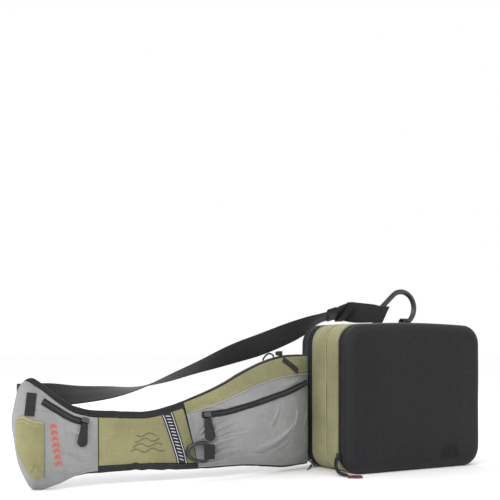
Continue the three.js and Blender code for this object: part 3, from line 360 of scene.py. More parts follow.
def field(a, b, size, seed, octaves=2):
    """Smooth random field between -1 and 1, with features of about the given size."""
    total, weight = 0.0, 0.0
    for octave in range(octaves):
        rng = np.random.default_rng(RNG_SEED + seed * 13 + octave)
        lattice = rng.uniform(-1, 1, (97, 97))
        x, y = np.asarray(a) / size * 2 ** octave + 300, np.asarray(b) / size * 2 ** octave + 300
        i, j = np.floor(x).astype(int), np.floor(y).astype(int)
        u, v = ease(x - i), ease(y - j)
        c = lattice[i % 97, j % 97] * (1 - u) * (1 - v) + lattice[(i + 1) % 97, j % 97] * u * (1 - v)
        c = c + lattice[i % 97, (j + 1) % 97] * (1 - u) * v + lattice[(i + 1) % 97, (j + 1) % 97] * u * v
        total, weight = total + c * 0.55 ** octave, weight + 0.55 ** octave
    return total / weight


def fold(s, z, start, end, width, height):
    """One soft ridge with a shallow valley beside it, from start to end."""
    ds, dz = end[0] - start[0], end[1] - start[1]
    length = math.hypot(ds, dz)
    t = ((s - start[0]) * ds + (z - start[1]) * dz) / length ** 2
    bend = 0.05 * length * np.sin(math.pi * np.clip(t, 0, 1))
    width = 0.62 * width * (0.7 + 0.6 * np.clip(t, 0, 1))
    off = ((s - start[0]) * dz - (z - start[1]) * ds) / length - bend
    body = np.exp(-(off / width) ** 2) - 0.55 * np.exp(-((off - 1.9 * width) / (1.2 * width)) ** 2)
    return height * body * np.sin(math.pi * np.clip(t, 0, 1)) ** 0.7


def add_mesh(name, points, faces, finish, body="bag", replaces=(), flat=None, angle=40, slot=None):
    """Closed mesh in millimetres, turned to face out, riding on its body."""
    points = np.asarray(points, float)
    volume = 0.0
    for face in faces:
        a = points[face[0]]
        for k in range(1, len(face) - 1):
            volume += np.dot(a, np.cross(points[face[k]], points[face[k + 1]]))
    if volume < 0:
        faces = [tuple(reversed(face)) for face in faces]
    mesh = bpy.data.meshes.new(name)
    mesh.from_pydata(place(points).tolist(), [], [list(map(int, face)) for face in faces])
    layer = mesh.uv_layers.new(name="cloth")
    if flat is None:
        flat = points[:, [0, 2]] / 1000
    loops = np.zeros(len(mesh.loops), int)
    mesh.loops.foreach_get("vertex_index", loops)
    layer.data.foreach_set("uv", np.asarray(flat, float)[loops].ravel())
    mesh.shade_smooth()
    mesh.set_sharp_from_angle(angle=math.radians(angle))
    mesh.materials.append(MATS[finish])
    piece = bpy.data.objects.new(name, mesh)
    bpy.context.scene.collection.objects.link(piece)
    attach(piece, body)
    if replaces:
        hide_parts(*replaces)
    return piece


def rings_mesh(rings, is_loop=False):
    """Points and faces of a skin over rings of equal length."""
    rings = np.asarray(rings, float)
    n, k = rings.shape[:2]
    index = np.arange(n * k).reshape(n, k)
    faces = []
    for i in range(n if is_loop else n - 1):
        a, b = index[i], index[(i + 1) % n]
        faces += [(a[j], a[(j + 1) % k], b[(j + 1) % k], b[j]) for j in range(k)]
    if not is_loop:
        faces += [tuple(index[0][::-1]), tuple(index[-1])]
    return rings.reshape(-1, 3), faces


def rings_flat(rings):
    """Arc-length coordinates, in metres, along and round a skin of rings."""
    rings = np.asarray(rings, float)
    along = np.linalg.norm(np.diff(rings, axis=0), axis=2).mean(1)
    along = np.concatenate([[0], np.cumsum(along)])
    around = np.linalg.norm(np.diff(rings, axis=1), axis=2).mean(0)
    around = np.concatenate([[0], np.cumsum(around)])
    u, v = np.meshgrid(along, around, indexing="ij")
    return np.stack([u, v], -1).reshape(-1, 2) / 1000


def skin(name, rings, finish, is_loop=False, **more):
    points, faces = rings_mesh(rings, is_loop)
    return add_mesh(name, points, faces, finish, flat=rings_flat(rings), **more)


def sheet_mesh(name, front, back, finish, flat=None, **more):
    """Closed sheet between two equal grids of points."""
    n, m = front.shape[:2]
    a = np.arange(n * m).reshape(n, m)
    b = a + n * m
    faces = []
    for i in range(n - 1):
        faces += [(a[i, j], a[i + 1, j], a[i + 1, j + 1], a[i, j + 1]) for j in range(m - 1)]
        faces += [(b[i, j], b[i, j + 1], b[i + 1, j + 1], b[i + 1, j]) for j in range(m - 1)]
        faces += [(a[i + 1, 0], a[i, 0], b[i, 0], b[i + 1, 0]),
                  (a[i, -1], a[i + 1, -1], b[i + 1, -1], b[i, -1])]
    for j in range(m - 1):
        faces += [(a[0, j], a[0, j + 1], b[0, j + 1], b[0, j]),
                  (a[-1, j + 1], a[-1, j], b[-1, j], b[-1, j + 1])]
    points = np.concatenate([front.reshape(-1, 3), back.reshape(-1, 3)])
    if flat is None:
        flat = rings_flat(front)
    return add_mesh(name, points, faces, finish, flat=np.concatenate([flat, flat]), **more)


def unit(vectors):
    return vectors / np.maximum(np.linalg.norm(vectors, axis=-1, keepdims=True), 1e-9)


def reach_along(path):
    """Length of a path up to each of its points."""
    return np.concatenate([[0], np.cumsum(np.linalg.norm(np.diff(path, axis=0), axis=1))])


def frames_along(path, is_loop=False):
    """Tangents of a path."""
    path = np.asarray(path, float)
    if is_loop:
        ahead = np.roll(path, -1, 0) - np.roll(path, 1, 0)
    else:
        ahead = np.gradient(path, axis=0)
    return unit(ahead)


def tube_rings(path, radius, sides=10, is_loop=False, up=(0, 0, 1), squash=1.0):
    path = np.asarray(path, float)
    ahead = frames_along(path, is_loop)
    up = np.broadcast_to(np.asarray(up, float), path.shape)
    side = unit(np.cross(ahead, up))
    over = np.cross(side, ahead)
    radius = np.broadcast_to(radius, len(path))[:, None, None]
    angle = np.linspace(0, 2 * math.pi, sides, endpoint=False)
    return (path[:, None] + radius * (np.cos(angle)[None, :, None] * side[:, None]
                                      + squash * np.sin(angle)[None, :, None] * over[:, None]))


def tube(name, path, radius, finish, sides=10, is_loop=False, up=(0, 0, 1), squash=1.0, **more):
    return skin(name, tube_rings(path, radius, sides, is_loop, up, squash), finish, is_loop, **more)


def join_rings(name, groups, finish, **more):
    """Many small closed skins in one mesh."""
    points, faces, flats, start = [], [], [], 0
    for rings in groups:
        p, f = rings_mesh(rings)
        points.append(p)
        flats.append(rings_flat(rings))
        faces += [tuple(i + start for i in face) for face in f]
        start += len(p)
    return add_mesh(name, np.concatenate(points), faces, finish, flat=np.concatenate(flats), **more)


def resample(path, step, is_loop=False):
    path = np.asarray(path, float)
    if is_loop:
        path = np.concatenate([path, path[:1]])
    reach = reach_along(path)
    count = max(int(round(reach[-1] / step)), 2)
    at = np.linspace(0, reach[-1], count + 1)
    if is_loop:
        at = at[:-1]
    return np.stack([np.interp(at, reach, path[:, k]) for k in range(3)], 1)


def stitches(name, path, outward, finish, length=2.6, pitch=4.0, radius=0.45, is_loop=False, slot="webbing"):
    """A row of short threads lying on a line; outward holds them off the cloth."""
    points = resample(path, pitch, is_loop)
    ahead = frames_along(points, is_loop)
    if np.ndim(outward) == 1:
        outward = np.broadcast_to(np.asarray(outward, float), points.shape)
    else:
        outward = resample_like(outward, path, points)
    groups = []
    shares = np.array([-0.5, -0.25, 0.25, 0.5])
    lifts = np.array([0.0, 0.8, 0.8, 0.0])
    for p, a, o in zip(points, ahead, outward):
        line = p + np.outer(shares * length, a) + np.outer(lifts * radius, o)
        groups.append(tube_rings(line, [radius * 0.5, radius, radius, radius * 0.5], 5, up=o))
    return join_rings(name, groups, finish, slot=slot)


def resample_like(values, path, points):
    """Values of the nearest places of a path."""
    path = np.asarray(path, float)
    nearest = ((points[:, None] - path[None]) ** 2).sum(2).argmin(1)
    return np.asarray(values, float)[nearest]


# Case
def outline(inset, y, corner=12, side=16):
    half, top, foot = CASE_W / 2 - inset, CASE_H - inset, max(inset, 0.0)
    radius = max(CASE_R - inset, 2.0)
    corners = [(half - radius, top - radius, 0), (-half + radius, top - radius, 90),
               (-half + radius, foot + radius, 180), (half - radius, foot + radius, 270)]
    points = []
    for c, (x, z, start) in enumerate(corners):
        turn = np.radians(start + 90 * np.arange(corner + 1) / corner)
        arc = np.stack([x + radius * np.cos(turn), np.full(corner + 1, y), z + radius * np.sin(turn)], 1)
        nx, nz, ns = corners[(c + 1) % 4]
        goal = np.array([nx + radius * math.cos(math.radians(ns)), y,
                         nz + radius * math.sin(math.radians(ns))])
        t = (np.arange(1, side) / side)[:, None]
        line = arc[-1] * (1 - t) + goal * t
        if c == 0:
            line[:, 2] += TOP_BOW * np.sin(math.pi * t[:, 0])
        points += [arc, line]
    return np.concatenate(points)


def case_shell(name, face, rim, fillet):
    out = math.copysign(1, face - rim)
    crown, wall = CROWN, SHELL_WALL
    rings = []
    for inset in (FACE_INSET, 96, 84, 70, 56, 44, 34, 26, 20):
        if inset > fillet:
            t = ease((CROWN_REACH - inset) / (CROWN_REACH - fillet))
            rings.append(outline(inset, face - out * crown * t * 0.9))
    for angle in np.linspace(0, math.pi / 2, 9):
        y = face - out * (crown + (fillet - crown) * (1 - math.cos(angle)))
        rings.append(outline(fillet * (1 - math.sin(angle)), y))
    for share in (0.25, 0.5, 0.75, 1.0):
        rings.append(outline(0, face - out * fillet + (rim - face + out * fillet) * share))
    inner = [outline(wall, rim), outline(wall, face - out * (fillet + 1))]
    inner += [outline(wall + 4, face - out * (wall + 4)), outline(fillet + 8, face - out * (wall + crown))]
    inner += [outline(CROWN_REACH, face - out * wall), outline(FACE_INSET, face - out * wall)]
    rings = np.array(rings + inner)
    count = len(rings) - len(inner)
    soft = field(rings[:count, :, 0] + rings[:count, :, 1], rings[:count, :, 2], 55, 3, 2)
    fade = np.clip(np.arange(count) / 4, 0, 1)[:, None]
    rings[:count, :, 1] += 0.5 * soft * out * fade
    return skin(name, rings, "foam", replaces=(name,))


def zip_coil(name, y, inset, pitch=2.6):
    """Interlocked teeth of a zip that runs round the case."""
    ring = resample(outline(inset, y), pitch, True)
    ahead = frames_along(ring, True)
    out = np.cross((0, 1, 0), ahead)
    out *= np.sign(np.sum(out * (ring - ring.mean(0)), 1))[:, None]
    groups = []
    for i, (p, a, o) in enumerate(zip(ring, ahead, out)):
        slant = 0.35 if i % 2 else -0.35
        bar = np.array((0, 1, 0)) + slant * a
        line = p + np.outer([-1.9, -1.2, 1.2, 1.9], bar) + np.outer([-0.5, 0.2, 0.2, -0.5], o)
        groups.append(tube_rings(line, [0.5, 0.8, 0.8, 0.5], 6, up=o))
    return join_rings(name, groups, "rubber", slot="tape")


def case_band(name, start, depth):
    """Zip tape between a shell and the gusset, with a raised rib each side of the coil."""
    mid = start + depth / 2
    section = [(1.9, start + 0.3), (1.5, start + 1.4), (1.6, mid - 5), (0.9, mid - 4.2), (0.5, mid - 3.3),
               (0.9, mid - 2.5), (1.5, mid - 2.2), (1.5, mid + 2.2), (0.9, mid + 2.5), (0.5, mid + 3.3),
               (0.9, mid + 4.2), (1.6, mid + 5), (1.5, start + depth - 1.4), (1.9, start + depth - 0.3),
               (3.5, start + depth - 0.3), (3.5, start + 0.3)]
    outlines = np.array([outline(inset, y) for inset, y in section])
    rings = outlines.transpose(1, 0, 2)
    skin(name + "_tape", rings, "tape", True, replaces=(name,))
    zip_coil(name + "_teeth", mid, 0.9)


def gusset():
    start, depth = GUSSET + 0.3, REAR_BAND - GUSSET - 0.6
    rows = np.array([(0, 1.4), (0.015, 0.3), (0.05, -0.2), (0.12, -0.3), (0.2, -0.9), (0.3, -1.4),
                     (0.38, -0.8), (0.43, 0.2), (0.465, 2.0), (0.485, 3.9), (0.5, 4.9), (0.515, 3.9),
                     (0.535, 2.0), (0.57, 0.2), (0.62, -0.8), (0.7, -1.4), (0.8, -0.9), (0.88, -0.3),
                     (0.95, -0.2), (0.985, 0.3), (1, 1.4)])
    fine = np.linspace(0, 1, 61)
    sink = np.interp(fine, rows[:, 0], rows[:, 1])
    outlines = np.array([outline(s, start + depth * f, 14, 34) for f, s in zip(fine, sink)])
    rings = outlines.transpose(1, 0, 2)
    reach = np.cumsum(np.linalg.norm(np.diff(rings[:, 0], axis=0, append=rings[:1, 0]), axis=1))
    out = rings - rings.mean(0, keepdims=True)
    out[:, :, 1] = 0
    out = unit(out)
    a, b = np.meshgrid(reach, fine * depth, indexing="ij")
    near_seam = (np.exp(-((fine - 0.5) / 0.07) ** 2) + np.exp(-(fine / 0.06) ** 2)
                 + np.exp(-((fine - 1) / 0.06) ** 2))
    pucker = 0.35 * field(a, b * 0.25, 7, 11, 1) * near_seam[None]
    wide = 0.8 * field(a, b, 42, 12, 2) + 0.5 * field(a * 0.4, b, 16, 13, 2)
    hold = np.clip(np.minimum(fine, 1 - fine) / 0.04, 0, 1)[None]
    lifted = (pucker + wide - 0.45) * hold
    floor = rings[:, :, 2] < 1.0
    lifted = np.where(floor, np.minimum(lifted, 0), lifted)
    outer = rings + out * lifted[..., None]
    outer[:, :, 2] = np.maximum(outer[:, :, 2], 0.0)
    inner = np.array([outline(3.6, start + depth, 14, 34), outline(7.4, start + depth / 2, 14, 34),
                      outline(3.6, start, 14, 34)])
    rings = np.concatenate([outer, inner.transpose(1, 0, 2)], axis=1)
    skin("gusset_cloth", rings, "olive", True, replaces=("gusset",))
    crease = outline(2.6, start + depth * 0.5, 14, 34)
    tube("gusset_piping", crease, 1.15, "piping", 8, True, up=(0, 1, 0), slot="olive")
    for label, share in (("front", 0.035), ("rear", 0.965)):
        ring = outline(-0.25, start + depth * share, 14, 34)
        stitches(f"gusset_{label}_stitches", ring, directions_out(ring), "thread", 2.4, 3.6, 0.5, True,
                 "olive")


def directions_out(ring):
    out = np.cross((0, 1, 0), frames_along(ring, True))
    return out * np.sign(np.sum(out * (ring - ring.mean(0)), 1))[:, None]


case_shell("front_shell", FRONT, FRONT_BAND, FRONT_FILLET)
case_shell("rear_shell", REAR, REAR_SHELL, REAR_FILLET)


def face_plate():
    """Smooth, darker half-round sheet lying on the front face's lower right."""
    a, r = np.meshgrid(np.linspace(0, math.pi, 33), np.linspace(0.02, 1, 8), indexing="ij")
    x, z = 74 + 23 * r * np.cos(a), 19 + 25 * r * np.sin(a)
    inset = np.minimum(z, CASE_W / 2 - np.abs(x))
    face = FRONT + 1.8 * ease((CROWN_REACH - inset) / (CROWN_REACH - FRONT_FILLET))
    front = np.stack([x, face - 0.9 + 0.5 * (r > 0.9), z], -1)
    back = np.stack([x, face + 0.8, z], -1)
    sheet_mesh("face_plate", front, back, "plate", slot="foam")


face_plate()
case_band("front_zip_band", FRONT_BAND, 16.0)
case_band("rear_zip_band", REAR_BAND, 14.0)
gusset()
for label, y in (("front", FRONT_BAND + 0.2), ("rear", REAR_SHELL - 0.2)):
    tube(f"{label}_rim_piping", outline(1.0, y), 1.5, "tape", 8, True, up=(0, 1, 0), slot="tape")

# Wing
WING_R = WING_L / WING_TURN
ROOT_X = -CASE_W / 2 - 0.3 - POCKET_RIM * math.sin(WING_TURN / 2)
WING_X = ROOT_X - WING_R * math.sin(WING_TURN / 2)
WING_Y = 52.5 + WING_R * math.cos(WING_TURN / 2)
EDGES = np.array([
    (0, 0.995, 0.03), (0.12, 0.98, 0.03), (0.2, 0.935, 0.055), (0.28, 0.855, 0.075), (0.37, 0.745, 0.08),
    (0.47, 0.65, 0.085), (0.56, 0.58, 0.1), (0.62, 0.56, 0.105), (0.7, 0.57, 0.105), (0.78, 0.585, 0.1),
    (0.83, 0.625, 0.08), (0.88, 0.715, 0.04), (0.92, 0.8, 0.015), (0.945, 0.83, 0.03), (0.965, 0.8, 0.12),
    (0.982, 0.715, 0.24), (1, 0.56, 0.46)])
top_share, foot_share = table_curve(*EDGES[:, [0, 1]]), table_curve(*EDGES[:, [0, 2]])
big_along = table_curve((0, 0), (0.04, 0.24), (0.12, 0.62), (0.25, 0.92), (0.42, 1), (0.62, 0.92),
                        (0.8, 0.62), (0.93, 0.24), (1, 0))
big_up = table_curve((0, 0), (0.06, 0.42), (0.16, 0.8), (0.32, 1), (0.52, 0.98), (0.7, 0.8), (0.84, 0.5),
                     (0.93, 0.24), (1, 0))
big_zip_share = table_curve((0, 0.76), (0.1, 0.74), (0.3, 0.69), (0.55, 0.665), (0.8, 0.695), (1, 0.77))
end_along = table_curve((0, 0), (0.08, 0.26), (0.25, 0.64), (0.5, 0.92), (0.7, 1), (0.85, 0.88),
                        (0.94, 0.58), (1, 0))
end_up = table_curve((0, 0), (0.08, 0.5), (0.2, 0.86), (0.38, 1), (0.58, 0.96), (0.76, 0.72), (0.9, 0.36),
                     (1, 0))
end_zip_along = table_curve((0, 0.13), (0.4, 0.33), (0.7, 0.48), (1, 0.65))
end_zip_up = table_curve((0, 0.9), (0.4, 0.905), (0.7, 0.91), (1, 0.9))


def mix(a, b, t):
    return a + (b - a) * t


def wing(d, h, out):
    d, h, out = np.broadcast_arrays(np.asarray(d, float), h, out)
    a = WING_TURN / 2 - d / WING_R
    return np.stack([WING_X + (WING_R + out) * np.sin(a), WING_Y - (WING_R + out) * np.cos(a), h], -1)


def wing_out(d):
    return wing(d, 0.0, 1.0) - wing(d, 0.0, 0.0)


def wing_top(d):
    return WING_H * top_share(np.asarray(d) / WING_L)


def wing_foot(d):
    return WING_H * foot_share(np.asarray(d) / WING_L)


def big_edge(v):
    return BIG_L + BIG_SLANT * (v - 0.5)


def big_low(d):
    return wing_foot(d) + POCKET_INSET


def big_high(d):
    return wing_top(d) - POCKET_INSET


def panel_low(d):
    return wing_foot(d) + PANEL_INSET


def panel_high(d):
    return wing_top(d) - PANEL_INSET


def hold(u, v, reach=0.08):
    """One inside a patch, falling to nothing at its sewn edges."""
    return ease(np.minimum(np.minimum(u, 1 - u), np.minimum(v, 1 - v)) / reach)


def big_place(d, h):
    low, high = big_low(d), big_high(d)
    v = np.clip((h - low) / (high - low), 0, 1)
    return np.clip(d / big_edge(v), 0, 1), v


BIG_FOLDS = (((232, 54), (150, 74), 2.6, 1.3), ((234, 70), (188, 112), 3.0, 1.3),
             ((150, 34), (96, 30), 3.4, 1.0), ((226, 40), (196, 50), 2.2, 1.2),
             ((46, 112), (70, 58), 3.6, 1.4), ((90, 120), (112, 78), 4.2, 1.0),
             ((58, 82), (138, 42), 5.0, 2.6), ((66, 60), (118, 36), 4.5, 1.5),
             ((236, 62), (176, 92), 4.2, 2.0), ((236, 46), (172, 66), 4.0, 1.8),
             ((230, 34), (168, 44), 3.6, 1.6), ((222, 26), (176, 26), 3.2, 1.2),
             ((228, 118), (180, 108), 4.5, 1.4), ((8, 120), (34, 70), 4.0, 1.5),
             ((20, 34), (64, 22), 3.5, 1.2), ((120, 132), (190, 118), 6.0, 1.2),
             ((30, 158), (84, 146), 5.0, 1.1))


def big_out(d, h):
    u, v = big_place(d, h)
    crease = 1.3 * field(d, h, 46, 21) + 0.7 * field(d * 0.6, h, 15, 22)
    for start, end, width, height in BIG_FOLDS:
        crease = crease + 2.3 * fold(d, h, start, end, width, height)
    pucker = 0.5 * field(d, h, 5, 23, 1) * np.exp(-(np.minimum(v, 1 - v) / 0.05) ** 2)
    return POCKET_RIM + BIG_DEPTH * big_along(u) * big_up(v) + (crease + pucker) * hold(u, v) * 0.9


def end_place(d, h):
    share = np.clip((d - END_START) / END_SPAN, 0, 1)
    low, high = end_low(d), end_high(d)
    return share, np.clip((h - low) / (high - low), 0, 1)


def end_share(d):
    return np.clip((np.asarray(d, float) - END_START) / END_SPAN, 0, 1)


def end_tip(d):
    """How far the pocket's end has rounded off, from one to nothing at the tip."""
    return np.sqrt(np.clip(1 - (np.clip(end_share(d) - 0.93, 0, 0.07) / 0.072) ** 2, 0, 1))


def end_low(d):
    low = wing_foot(d) + mix(POCKET_INSET, -OVERHANG, ease((end_share(d) - 0.1) / 0.4))
    return mix(TIP_HEIGHT, low, end_tip(d))


def end_high(d):
    high = wing_top(d) - mix(PANEL_INSET, -OVERHANG, ease((end_share(d) - 0.72) / 0.2))
    return mix(TIP_HEIGHT, high, end_tip(d))


END_FOLDS = (((410, 40), (452, 66), 4.0, 1.6), ((404, 78), (446, 92), 4.0, 1.3),
             ((414, 28), (470, 34), 4.0, 1.2), ((500, 40), (478, 20), 3.5, 1.4),
             ((455, 118), (500, 128), 4.5, 1.2), ((440, 22), (466, 52), 4.0, 1.2))


def end_out(d, h):
    u, v = end_place(d, h)
    crease = 1.1 * field(d, h, 40, 31) + 0.6 * field(d, h, 14, 32)
    for start, end, width, height in END_FOLDS:
        crease = crease + 2.2 * fold(d, h, start, end, width, height)
    return POCKET_RIM + END_DEPTH * end_along(u) * end_up(v) + crease * hold(u, v, 0.1) * 0.9


def panel_out(d, h):
    low, high = panel_low(d), panel_high(d)
    v = np.clip((h - low) / (high - low), 0, 1)
    u = np.clip((d - 246) / 150, 0, 1)
    soft = 1.1 + 0.9 * field(d, h, 40, 41) + 0.35 * field(d * 0.5, h, 12, 42)
    tug = 0.7 * np.sin(d / 4.2 + 2 * field(d, h, 30, 43)) * np.exp(-(np.minimum(v, 1 - v) / 0.12) ** 2)
    return 2.0 + (np.maximum(soft, 0) + tug + 0.7) * hold(u, v, 0.1)


def wing_sheet(name, count, distance, height, surface, thickness, finish, **more):
    """Cloth lying on the wing: distance and height of (u, v), and its front as a surface."""
    u, v = np.meshgrid(np.linspace(0, 1, count[0]), np.linspace(0, 1, count[1]), indexing="ij")
    d = distance(u, v)
    h = height(d, u, v)
    out = surface(d, h)
    rim = np.minimum(np.minimum(u, 1 - u) * count[0], np.minimum(v, 1 - v) * count[1])
    rolled = np.where(rim < 0.5, thickness * 0.45, 0)
    front, back = wing(d, h, out - rolled), wing(d, h, out - thickness)
    flat = np.stack([d, h], -1).reshape(-1, 2) / 1000
    return sheet_mesh(name, front, back, finish, flat=flat, **more)


def on_wing(path, surface, lift):
    """Line of [distance, height] points held off a surface of the wing."""
    path = np.asarray(path, float)
    return wing(path[:, 0], path[:, 1], surface(path[:, 0], path[:, 1]) + lift)


def wing_cord(name, line, surface, lift, radius, finish, sides, slot):
    """Round cord or piping lying on a surface of the wing."""
    points = on_wing(line, surface, lift)
    return tube(name, points, radius, finish, sides, up=wing_out(line[:, 0]), slot=slot)


def strip_grid(path, width, surface, lift, across=9):
    path = np.asarray(path, float)
    ahead = unit(np.gradient(path, axis=0))
    side = np.stack([-ahead[:, 1], ahead[:, 0]], 1)
    v = np.linspace(-0.5, 0.5, across)
    spots = path[:, None] + side[:, None] * (v * width)[None, :, None]
    return wing(spots[..., 0], spots[..., 1], surface(spots[..., 0], spots[..., 1]) + lift)


def wing_strip(name, path, width, surface, base, thickness, finish, **more):
    return sheet_mesh(name, strip_grid(path, width, surface, base + thickness),
                      strip_grid(path, width, surface, base), finish, **more)


def wing_zip(name, path, surface, width=10.0, pitch=2.1):
    path = np.asarray(path, float)
    wing_strip(name + "_tape", path, width, surface, 0.5, 0.8, "tape", replaces=(name,))
    for label, offset in (("upper", 0.34), ("lower", -0.34)):
        ahead = unit(np.gradient(path, axis=0))
        edge = path + np.stack([-ahead[:, 1], ahead[:, 0]], 1) * width * offset
        wing_cord(f"{name}_{label}_lip", edge, surface, 1.35, 0.8, "tape", 7, "tape")
    line = resample(on_wing(path, surface, 1.5), pitch)
    ahead = frames_along(line)
    out = wing_out(np.interp(np.linspace(0, 1, len(line)), np.linspace(0, 1, len(path)), path[:, 0]))
    across = np.cross(out, ahead)
    groups = []
    for i, (p, a, s, o) in enumerate(zip(line, ahead, across, out)):
        tilt = 0.4 if i % 2 else -0.4
        bar = p + np.outer([-1.7, -1.0, 1.0, 1.7], s + tilt * a) + np.outer([-0.4, 0.2, 0.2, -0.4], o)
        groups.append(tube_rings(bar, [0.45, 0.7, 0.7, 0.45], 6, up=o))
    join_rings(name + "_teeth", groups, "dark_thread", slot="tape")


def wing_pad():
    u, v = np.meshgrid(ease(np.linspace(0, 1, 150)) * 0.35 + np.linspace(0, 1, 150) * 0.65,
                       np.linspace(0, 1, 46), indexing="ij")
    d = mix(1.5, PAD_TIP - 1.5, u)
    foot, top = wing_foot(d) + 1.5, wing_top(d) - 1.5
    h = mix(foot, top, v)
    span = np.maximum(wing_top(d) - wing_foot(d) - 2 * PANEL_INSET, 2)
    share = np.clip((np.minimum(h - wing_foot(d), wing_top(d) - h) - PANEL_INSET) / span, 0, 0.5)
    swell = np.interp(share, (0, 0.06, 0.13, 0.3, 0.5), (0, 0.34, 0.6, 0.93, 1))
    away = np.clip((WING_L - LIP - d) / 20 - 0.5, 0, 1)
    soft = (0.9 * field(d, h, 44, 51) + 0.4 * field(d, h, 16, 52)) * swell
    dent = 1.6 * swell * sum(np.exp(-((d - c) / 4.0) ** 2) for c in (130, 262, 392))
    back = wing(d, h, -(mix(PAD_EDGE, PAD, swell * away) + soft * away - dent * away))
    pad = sheet_mesh("wing_pad_cloth", wing(d, h, 0.0), back, "mesh",
                     flat=np.stack([d, h], -1).reshape(-1, 2) / 1000, replaces=("wing_pad",))


def rim_path(step=RIM_STEP):
    d = np.concatenate([np.linspace(0, 470, 160), np.linspace(470, PAD_TIP, 60)[1:]])
    upper, lower = np.stack([d, wing_top(d)], 1), np.stack([d, wing_foot(d)], 1)[::-1]
    path = np.concatenate([upper, lower])
    reach = reach_along(path)
    at = np.linspace(0, reach[-1], int(reach[-1] / step))
    path = np.stack([np.interp(at, reach, path[:, k]) for k in (0, 1)], 1)
    ahead = np.gradient(path, axis=0)
    window = np.hanning(7) / np.hanning(7).sum()
    ahead = np.stack([np.convolve(np.pad(ahead[:, k], 3, mode="edge"), window, "valid") for k in (0, 1)], 1)
    ahead = unit(ahead)
    inward = np.stack([ahead[:, 1], -ahead[:, 0]], 1)
    inward[0], inward[-1] = (0, -1), (0, 1)
    return path, inward


def wing_binding():
    path, inward = rim_path()
    section = np.array([(10, 0.4), (10, 1.3), (9.4, 1.6), (7, 1.7), (4, 1.7), (2, 1.6), (0.8, 1.2),
                        (0.15, 0.4), (0, -1), (0, -4.2), (0.15, -5.6), (0.8, -6.4), (2, -6.8), (4, -6.9),
                        (7, -6.9), (9.4, -6.8), (10, -6.5), (10, -5.4), (2, -5.3), (1.3, -4.8), (1.3, -0.2),
                        (2, 0.3)])
    reach = np.arange(len(path)) * RIM_STEP
    wave = 0.85 * field(reach, reach * 0, 11, 61, 1) + 0.7 * field(reach, reach * 0, 30, 62)
    middle = np.exp(-((path[:, 0] - 320) / 80) ** 2) * (path[:, 1] < 60)
    wave = wave * (0.7 + 1.3 * middle)
    depth, out = section[:, 0][None], section[:, 1][None]
    lip = np.clip(depth / 6, 0, 1)
    wavy = wave[:, None] * np.where(out > 0.35, 1, np.where(out < -5.35, -0.6, 0)) * lip
    d = path[:, :1] + inward[:, :1] * depth
    h = path[:, 1:] + inward[:, 1:] * (depth + 1.3 * wave[:, None] * (0.4 + 0.6 * lip))
    skin("wing_binding_web", wing(d, h, out + np.maximum(wavy, -0.25)), "webbing",
         replaces=("wing_binding",))
    for label, depth, out in (("front", 8.2, 1.75), ("back", 8.2, -6.95)):
        line = path + inward * depth
        side = wing_out(line[:, 0]) * math.copysign(1, out)
        stitches(f"binding_{label}_stitches", wing(line[:, 0], line[:, 1], out), side, "dark_thread", 2.6,
                 4.2, 0.4)


wing_pad()
wing_binding()
wing_sheet("big_pocket_front", (170, 110), lambda u, v: u * big_edge(v * YOKE),
           lambda d, u, v: mix(big_low(d), big_high(d), v * YOKE), big_out, 1.8, "grey",
           replaces=("big_pocket",))
wing_sheet("yoke_front", (150, 30), lambda u, v: u * big_edge(mix(YOKE + 0.003, 1, v)),
           lambda d, u, v: mix(big_low(d), big_high(d), mix(YOKE + 0.003, 1, v)), big_out, 1.8, "olive",
           replaces=("pocket_yoke",))
wing_sheet("mid_panel_front", (110, 70), lambda u, v: mix(big_edge(v) + 1.6, 395.4, u),
           lambda d, u, v: mix(panel_low(d), panel_high(d), v), panel_out, 1.7, "olive",
           replaces=("mid_panel",))
wing_sheet("end_pocket_front", (120, 90), lambda u, v: mix(END_START, END_TIP, 1 - (1 - u * 0.999) ** 1.6),
           lambda d, u, v: mix(end_low(d), end_high(d), v), end_out, 1.8, "grey", replaces=("end_pocket",))


def patch_out(d, h):
    return (end_out(d, h) + 2.4 + 0.5 * field(d, h, 16, 71) + fold(d, h, (492, 44), (503, 22), 3.0, 1.5)
            + fold(d, h, (516, 44), (505, 22), 3.0, 1.2))


wing_sheet("end_patch_front", (60, 60), lambda u, v: mix(END_START, END_TIP, mix(0.64, 0.955, u)),
           lambda d, u, v: mix(end_low(d), end_high(d), mix(0.12, 0.70 - 0.07 * u, v)), patch_out, 1.5,
           "olive", replaces=("end_patch",))

shares = np.linspace(0.03, 0.94, 120)
big_zip_path = np.stack([shares * BIG_L, mix(big_low(shares * BIG_L), big_high(shares * BIG_L),
                                             big_zip_share(shares))], 1)
wing_zip("big_zip", big_zip_path, big_out)
shares = np.linspace(0, 1, 60)
spots = mix(END_START, END_TIP, end_zip_along(shares))
end_zip_path = np.stack([spots, mix(end_low(spots), end_high(spots), end_zip_up(shares))], 1)
wing_zip("end_zip", end_zip_path, end_out)


def level_line(low, high, share, start, end, count=120):
    d = np.linspace(start, end, count)
    return np.stack([d, mix(low(d), high(d), share)], 1)


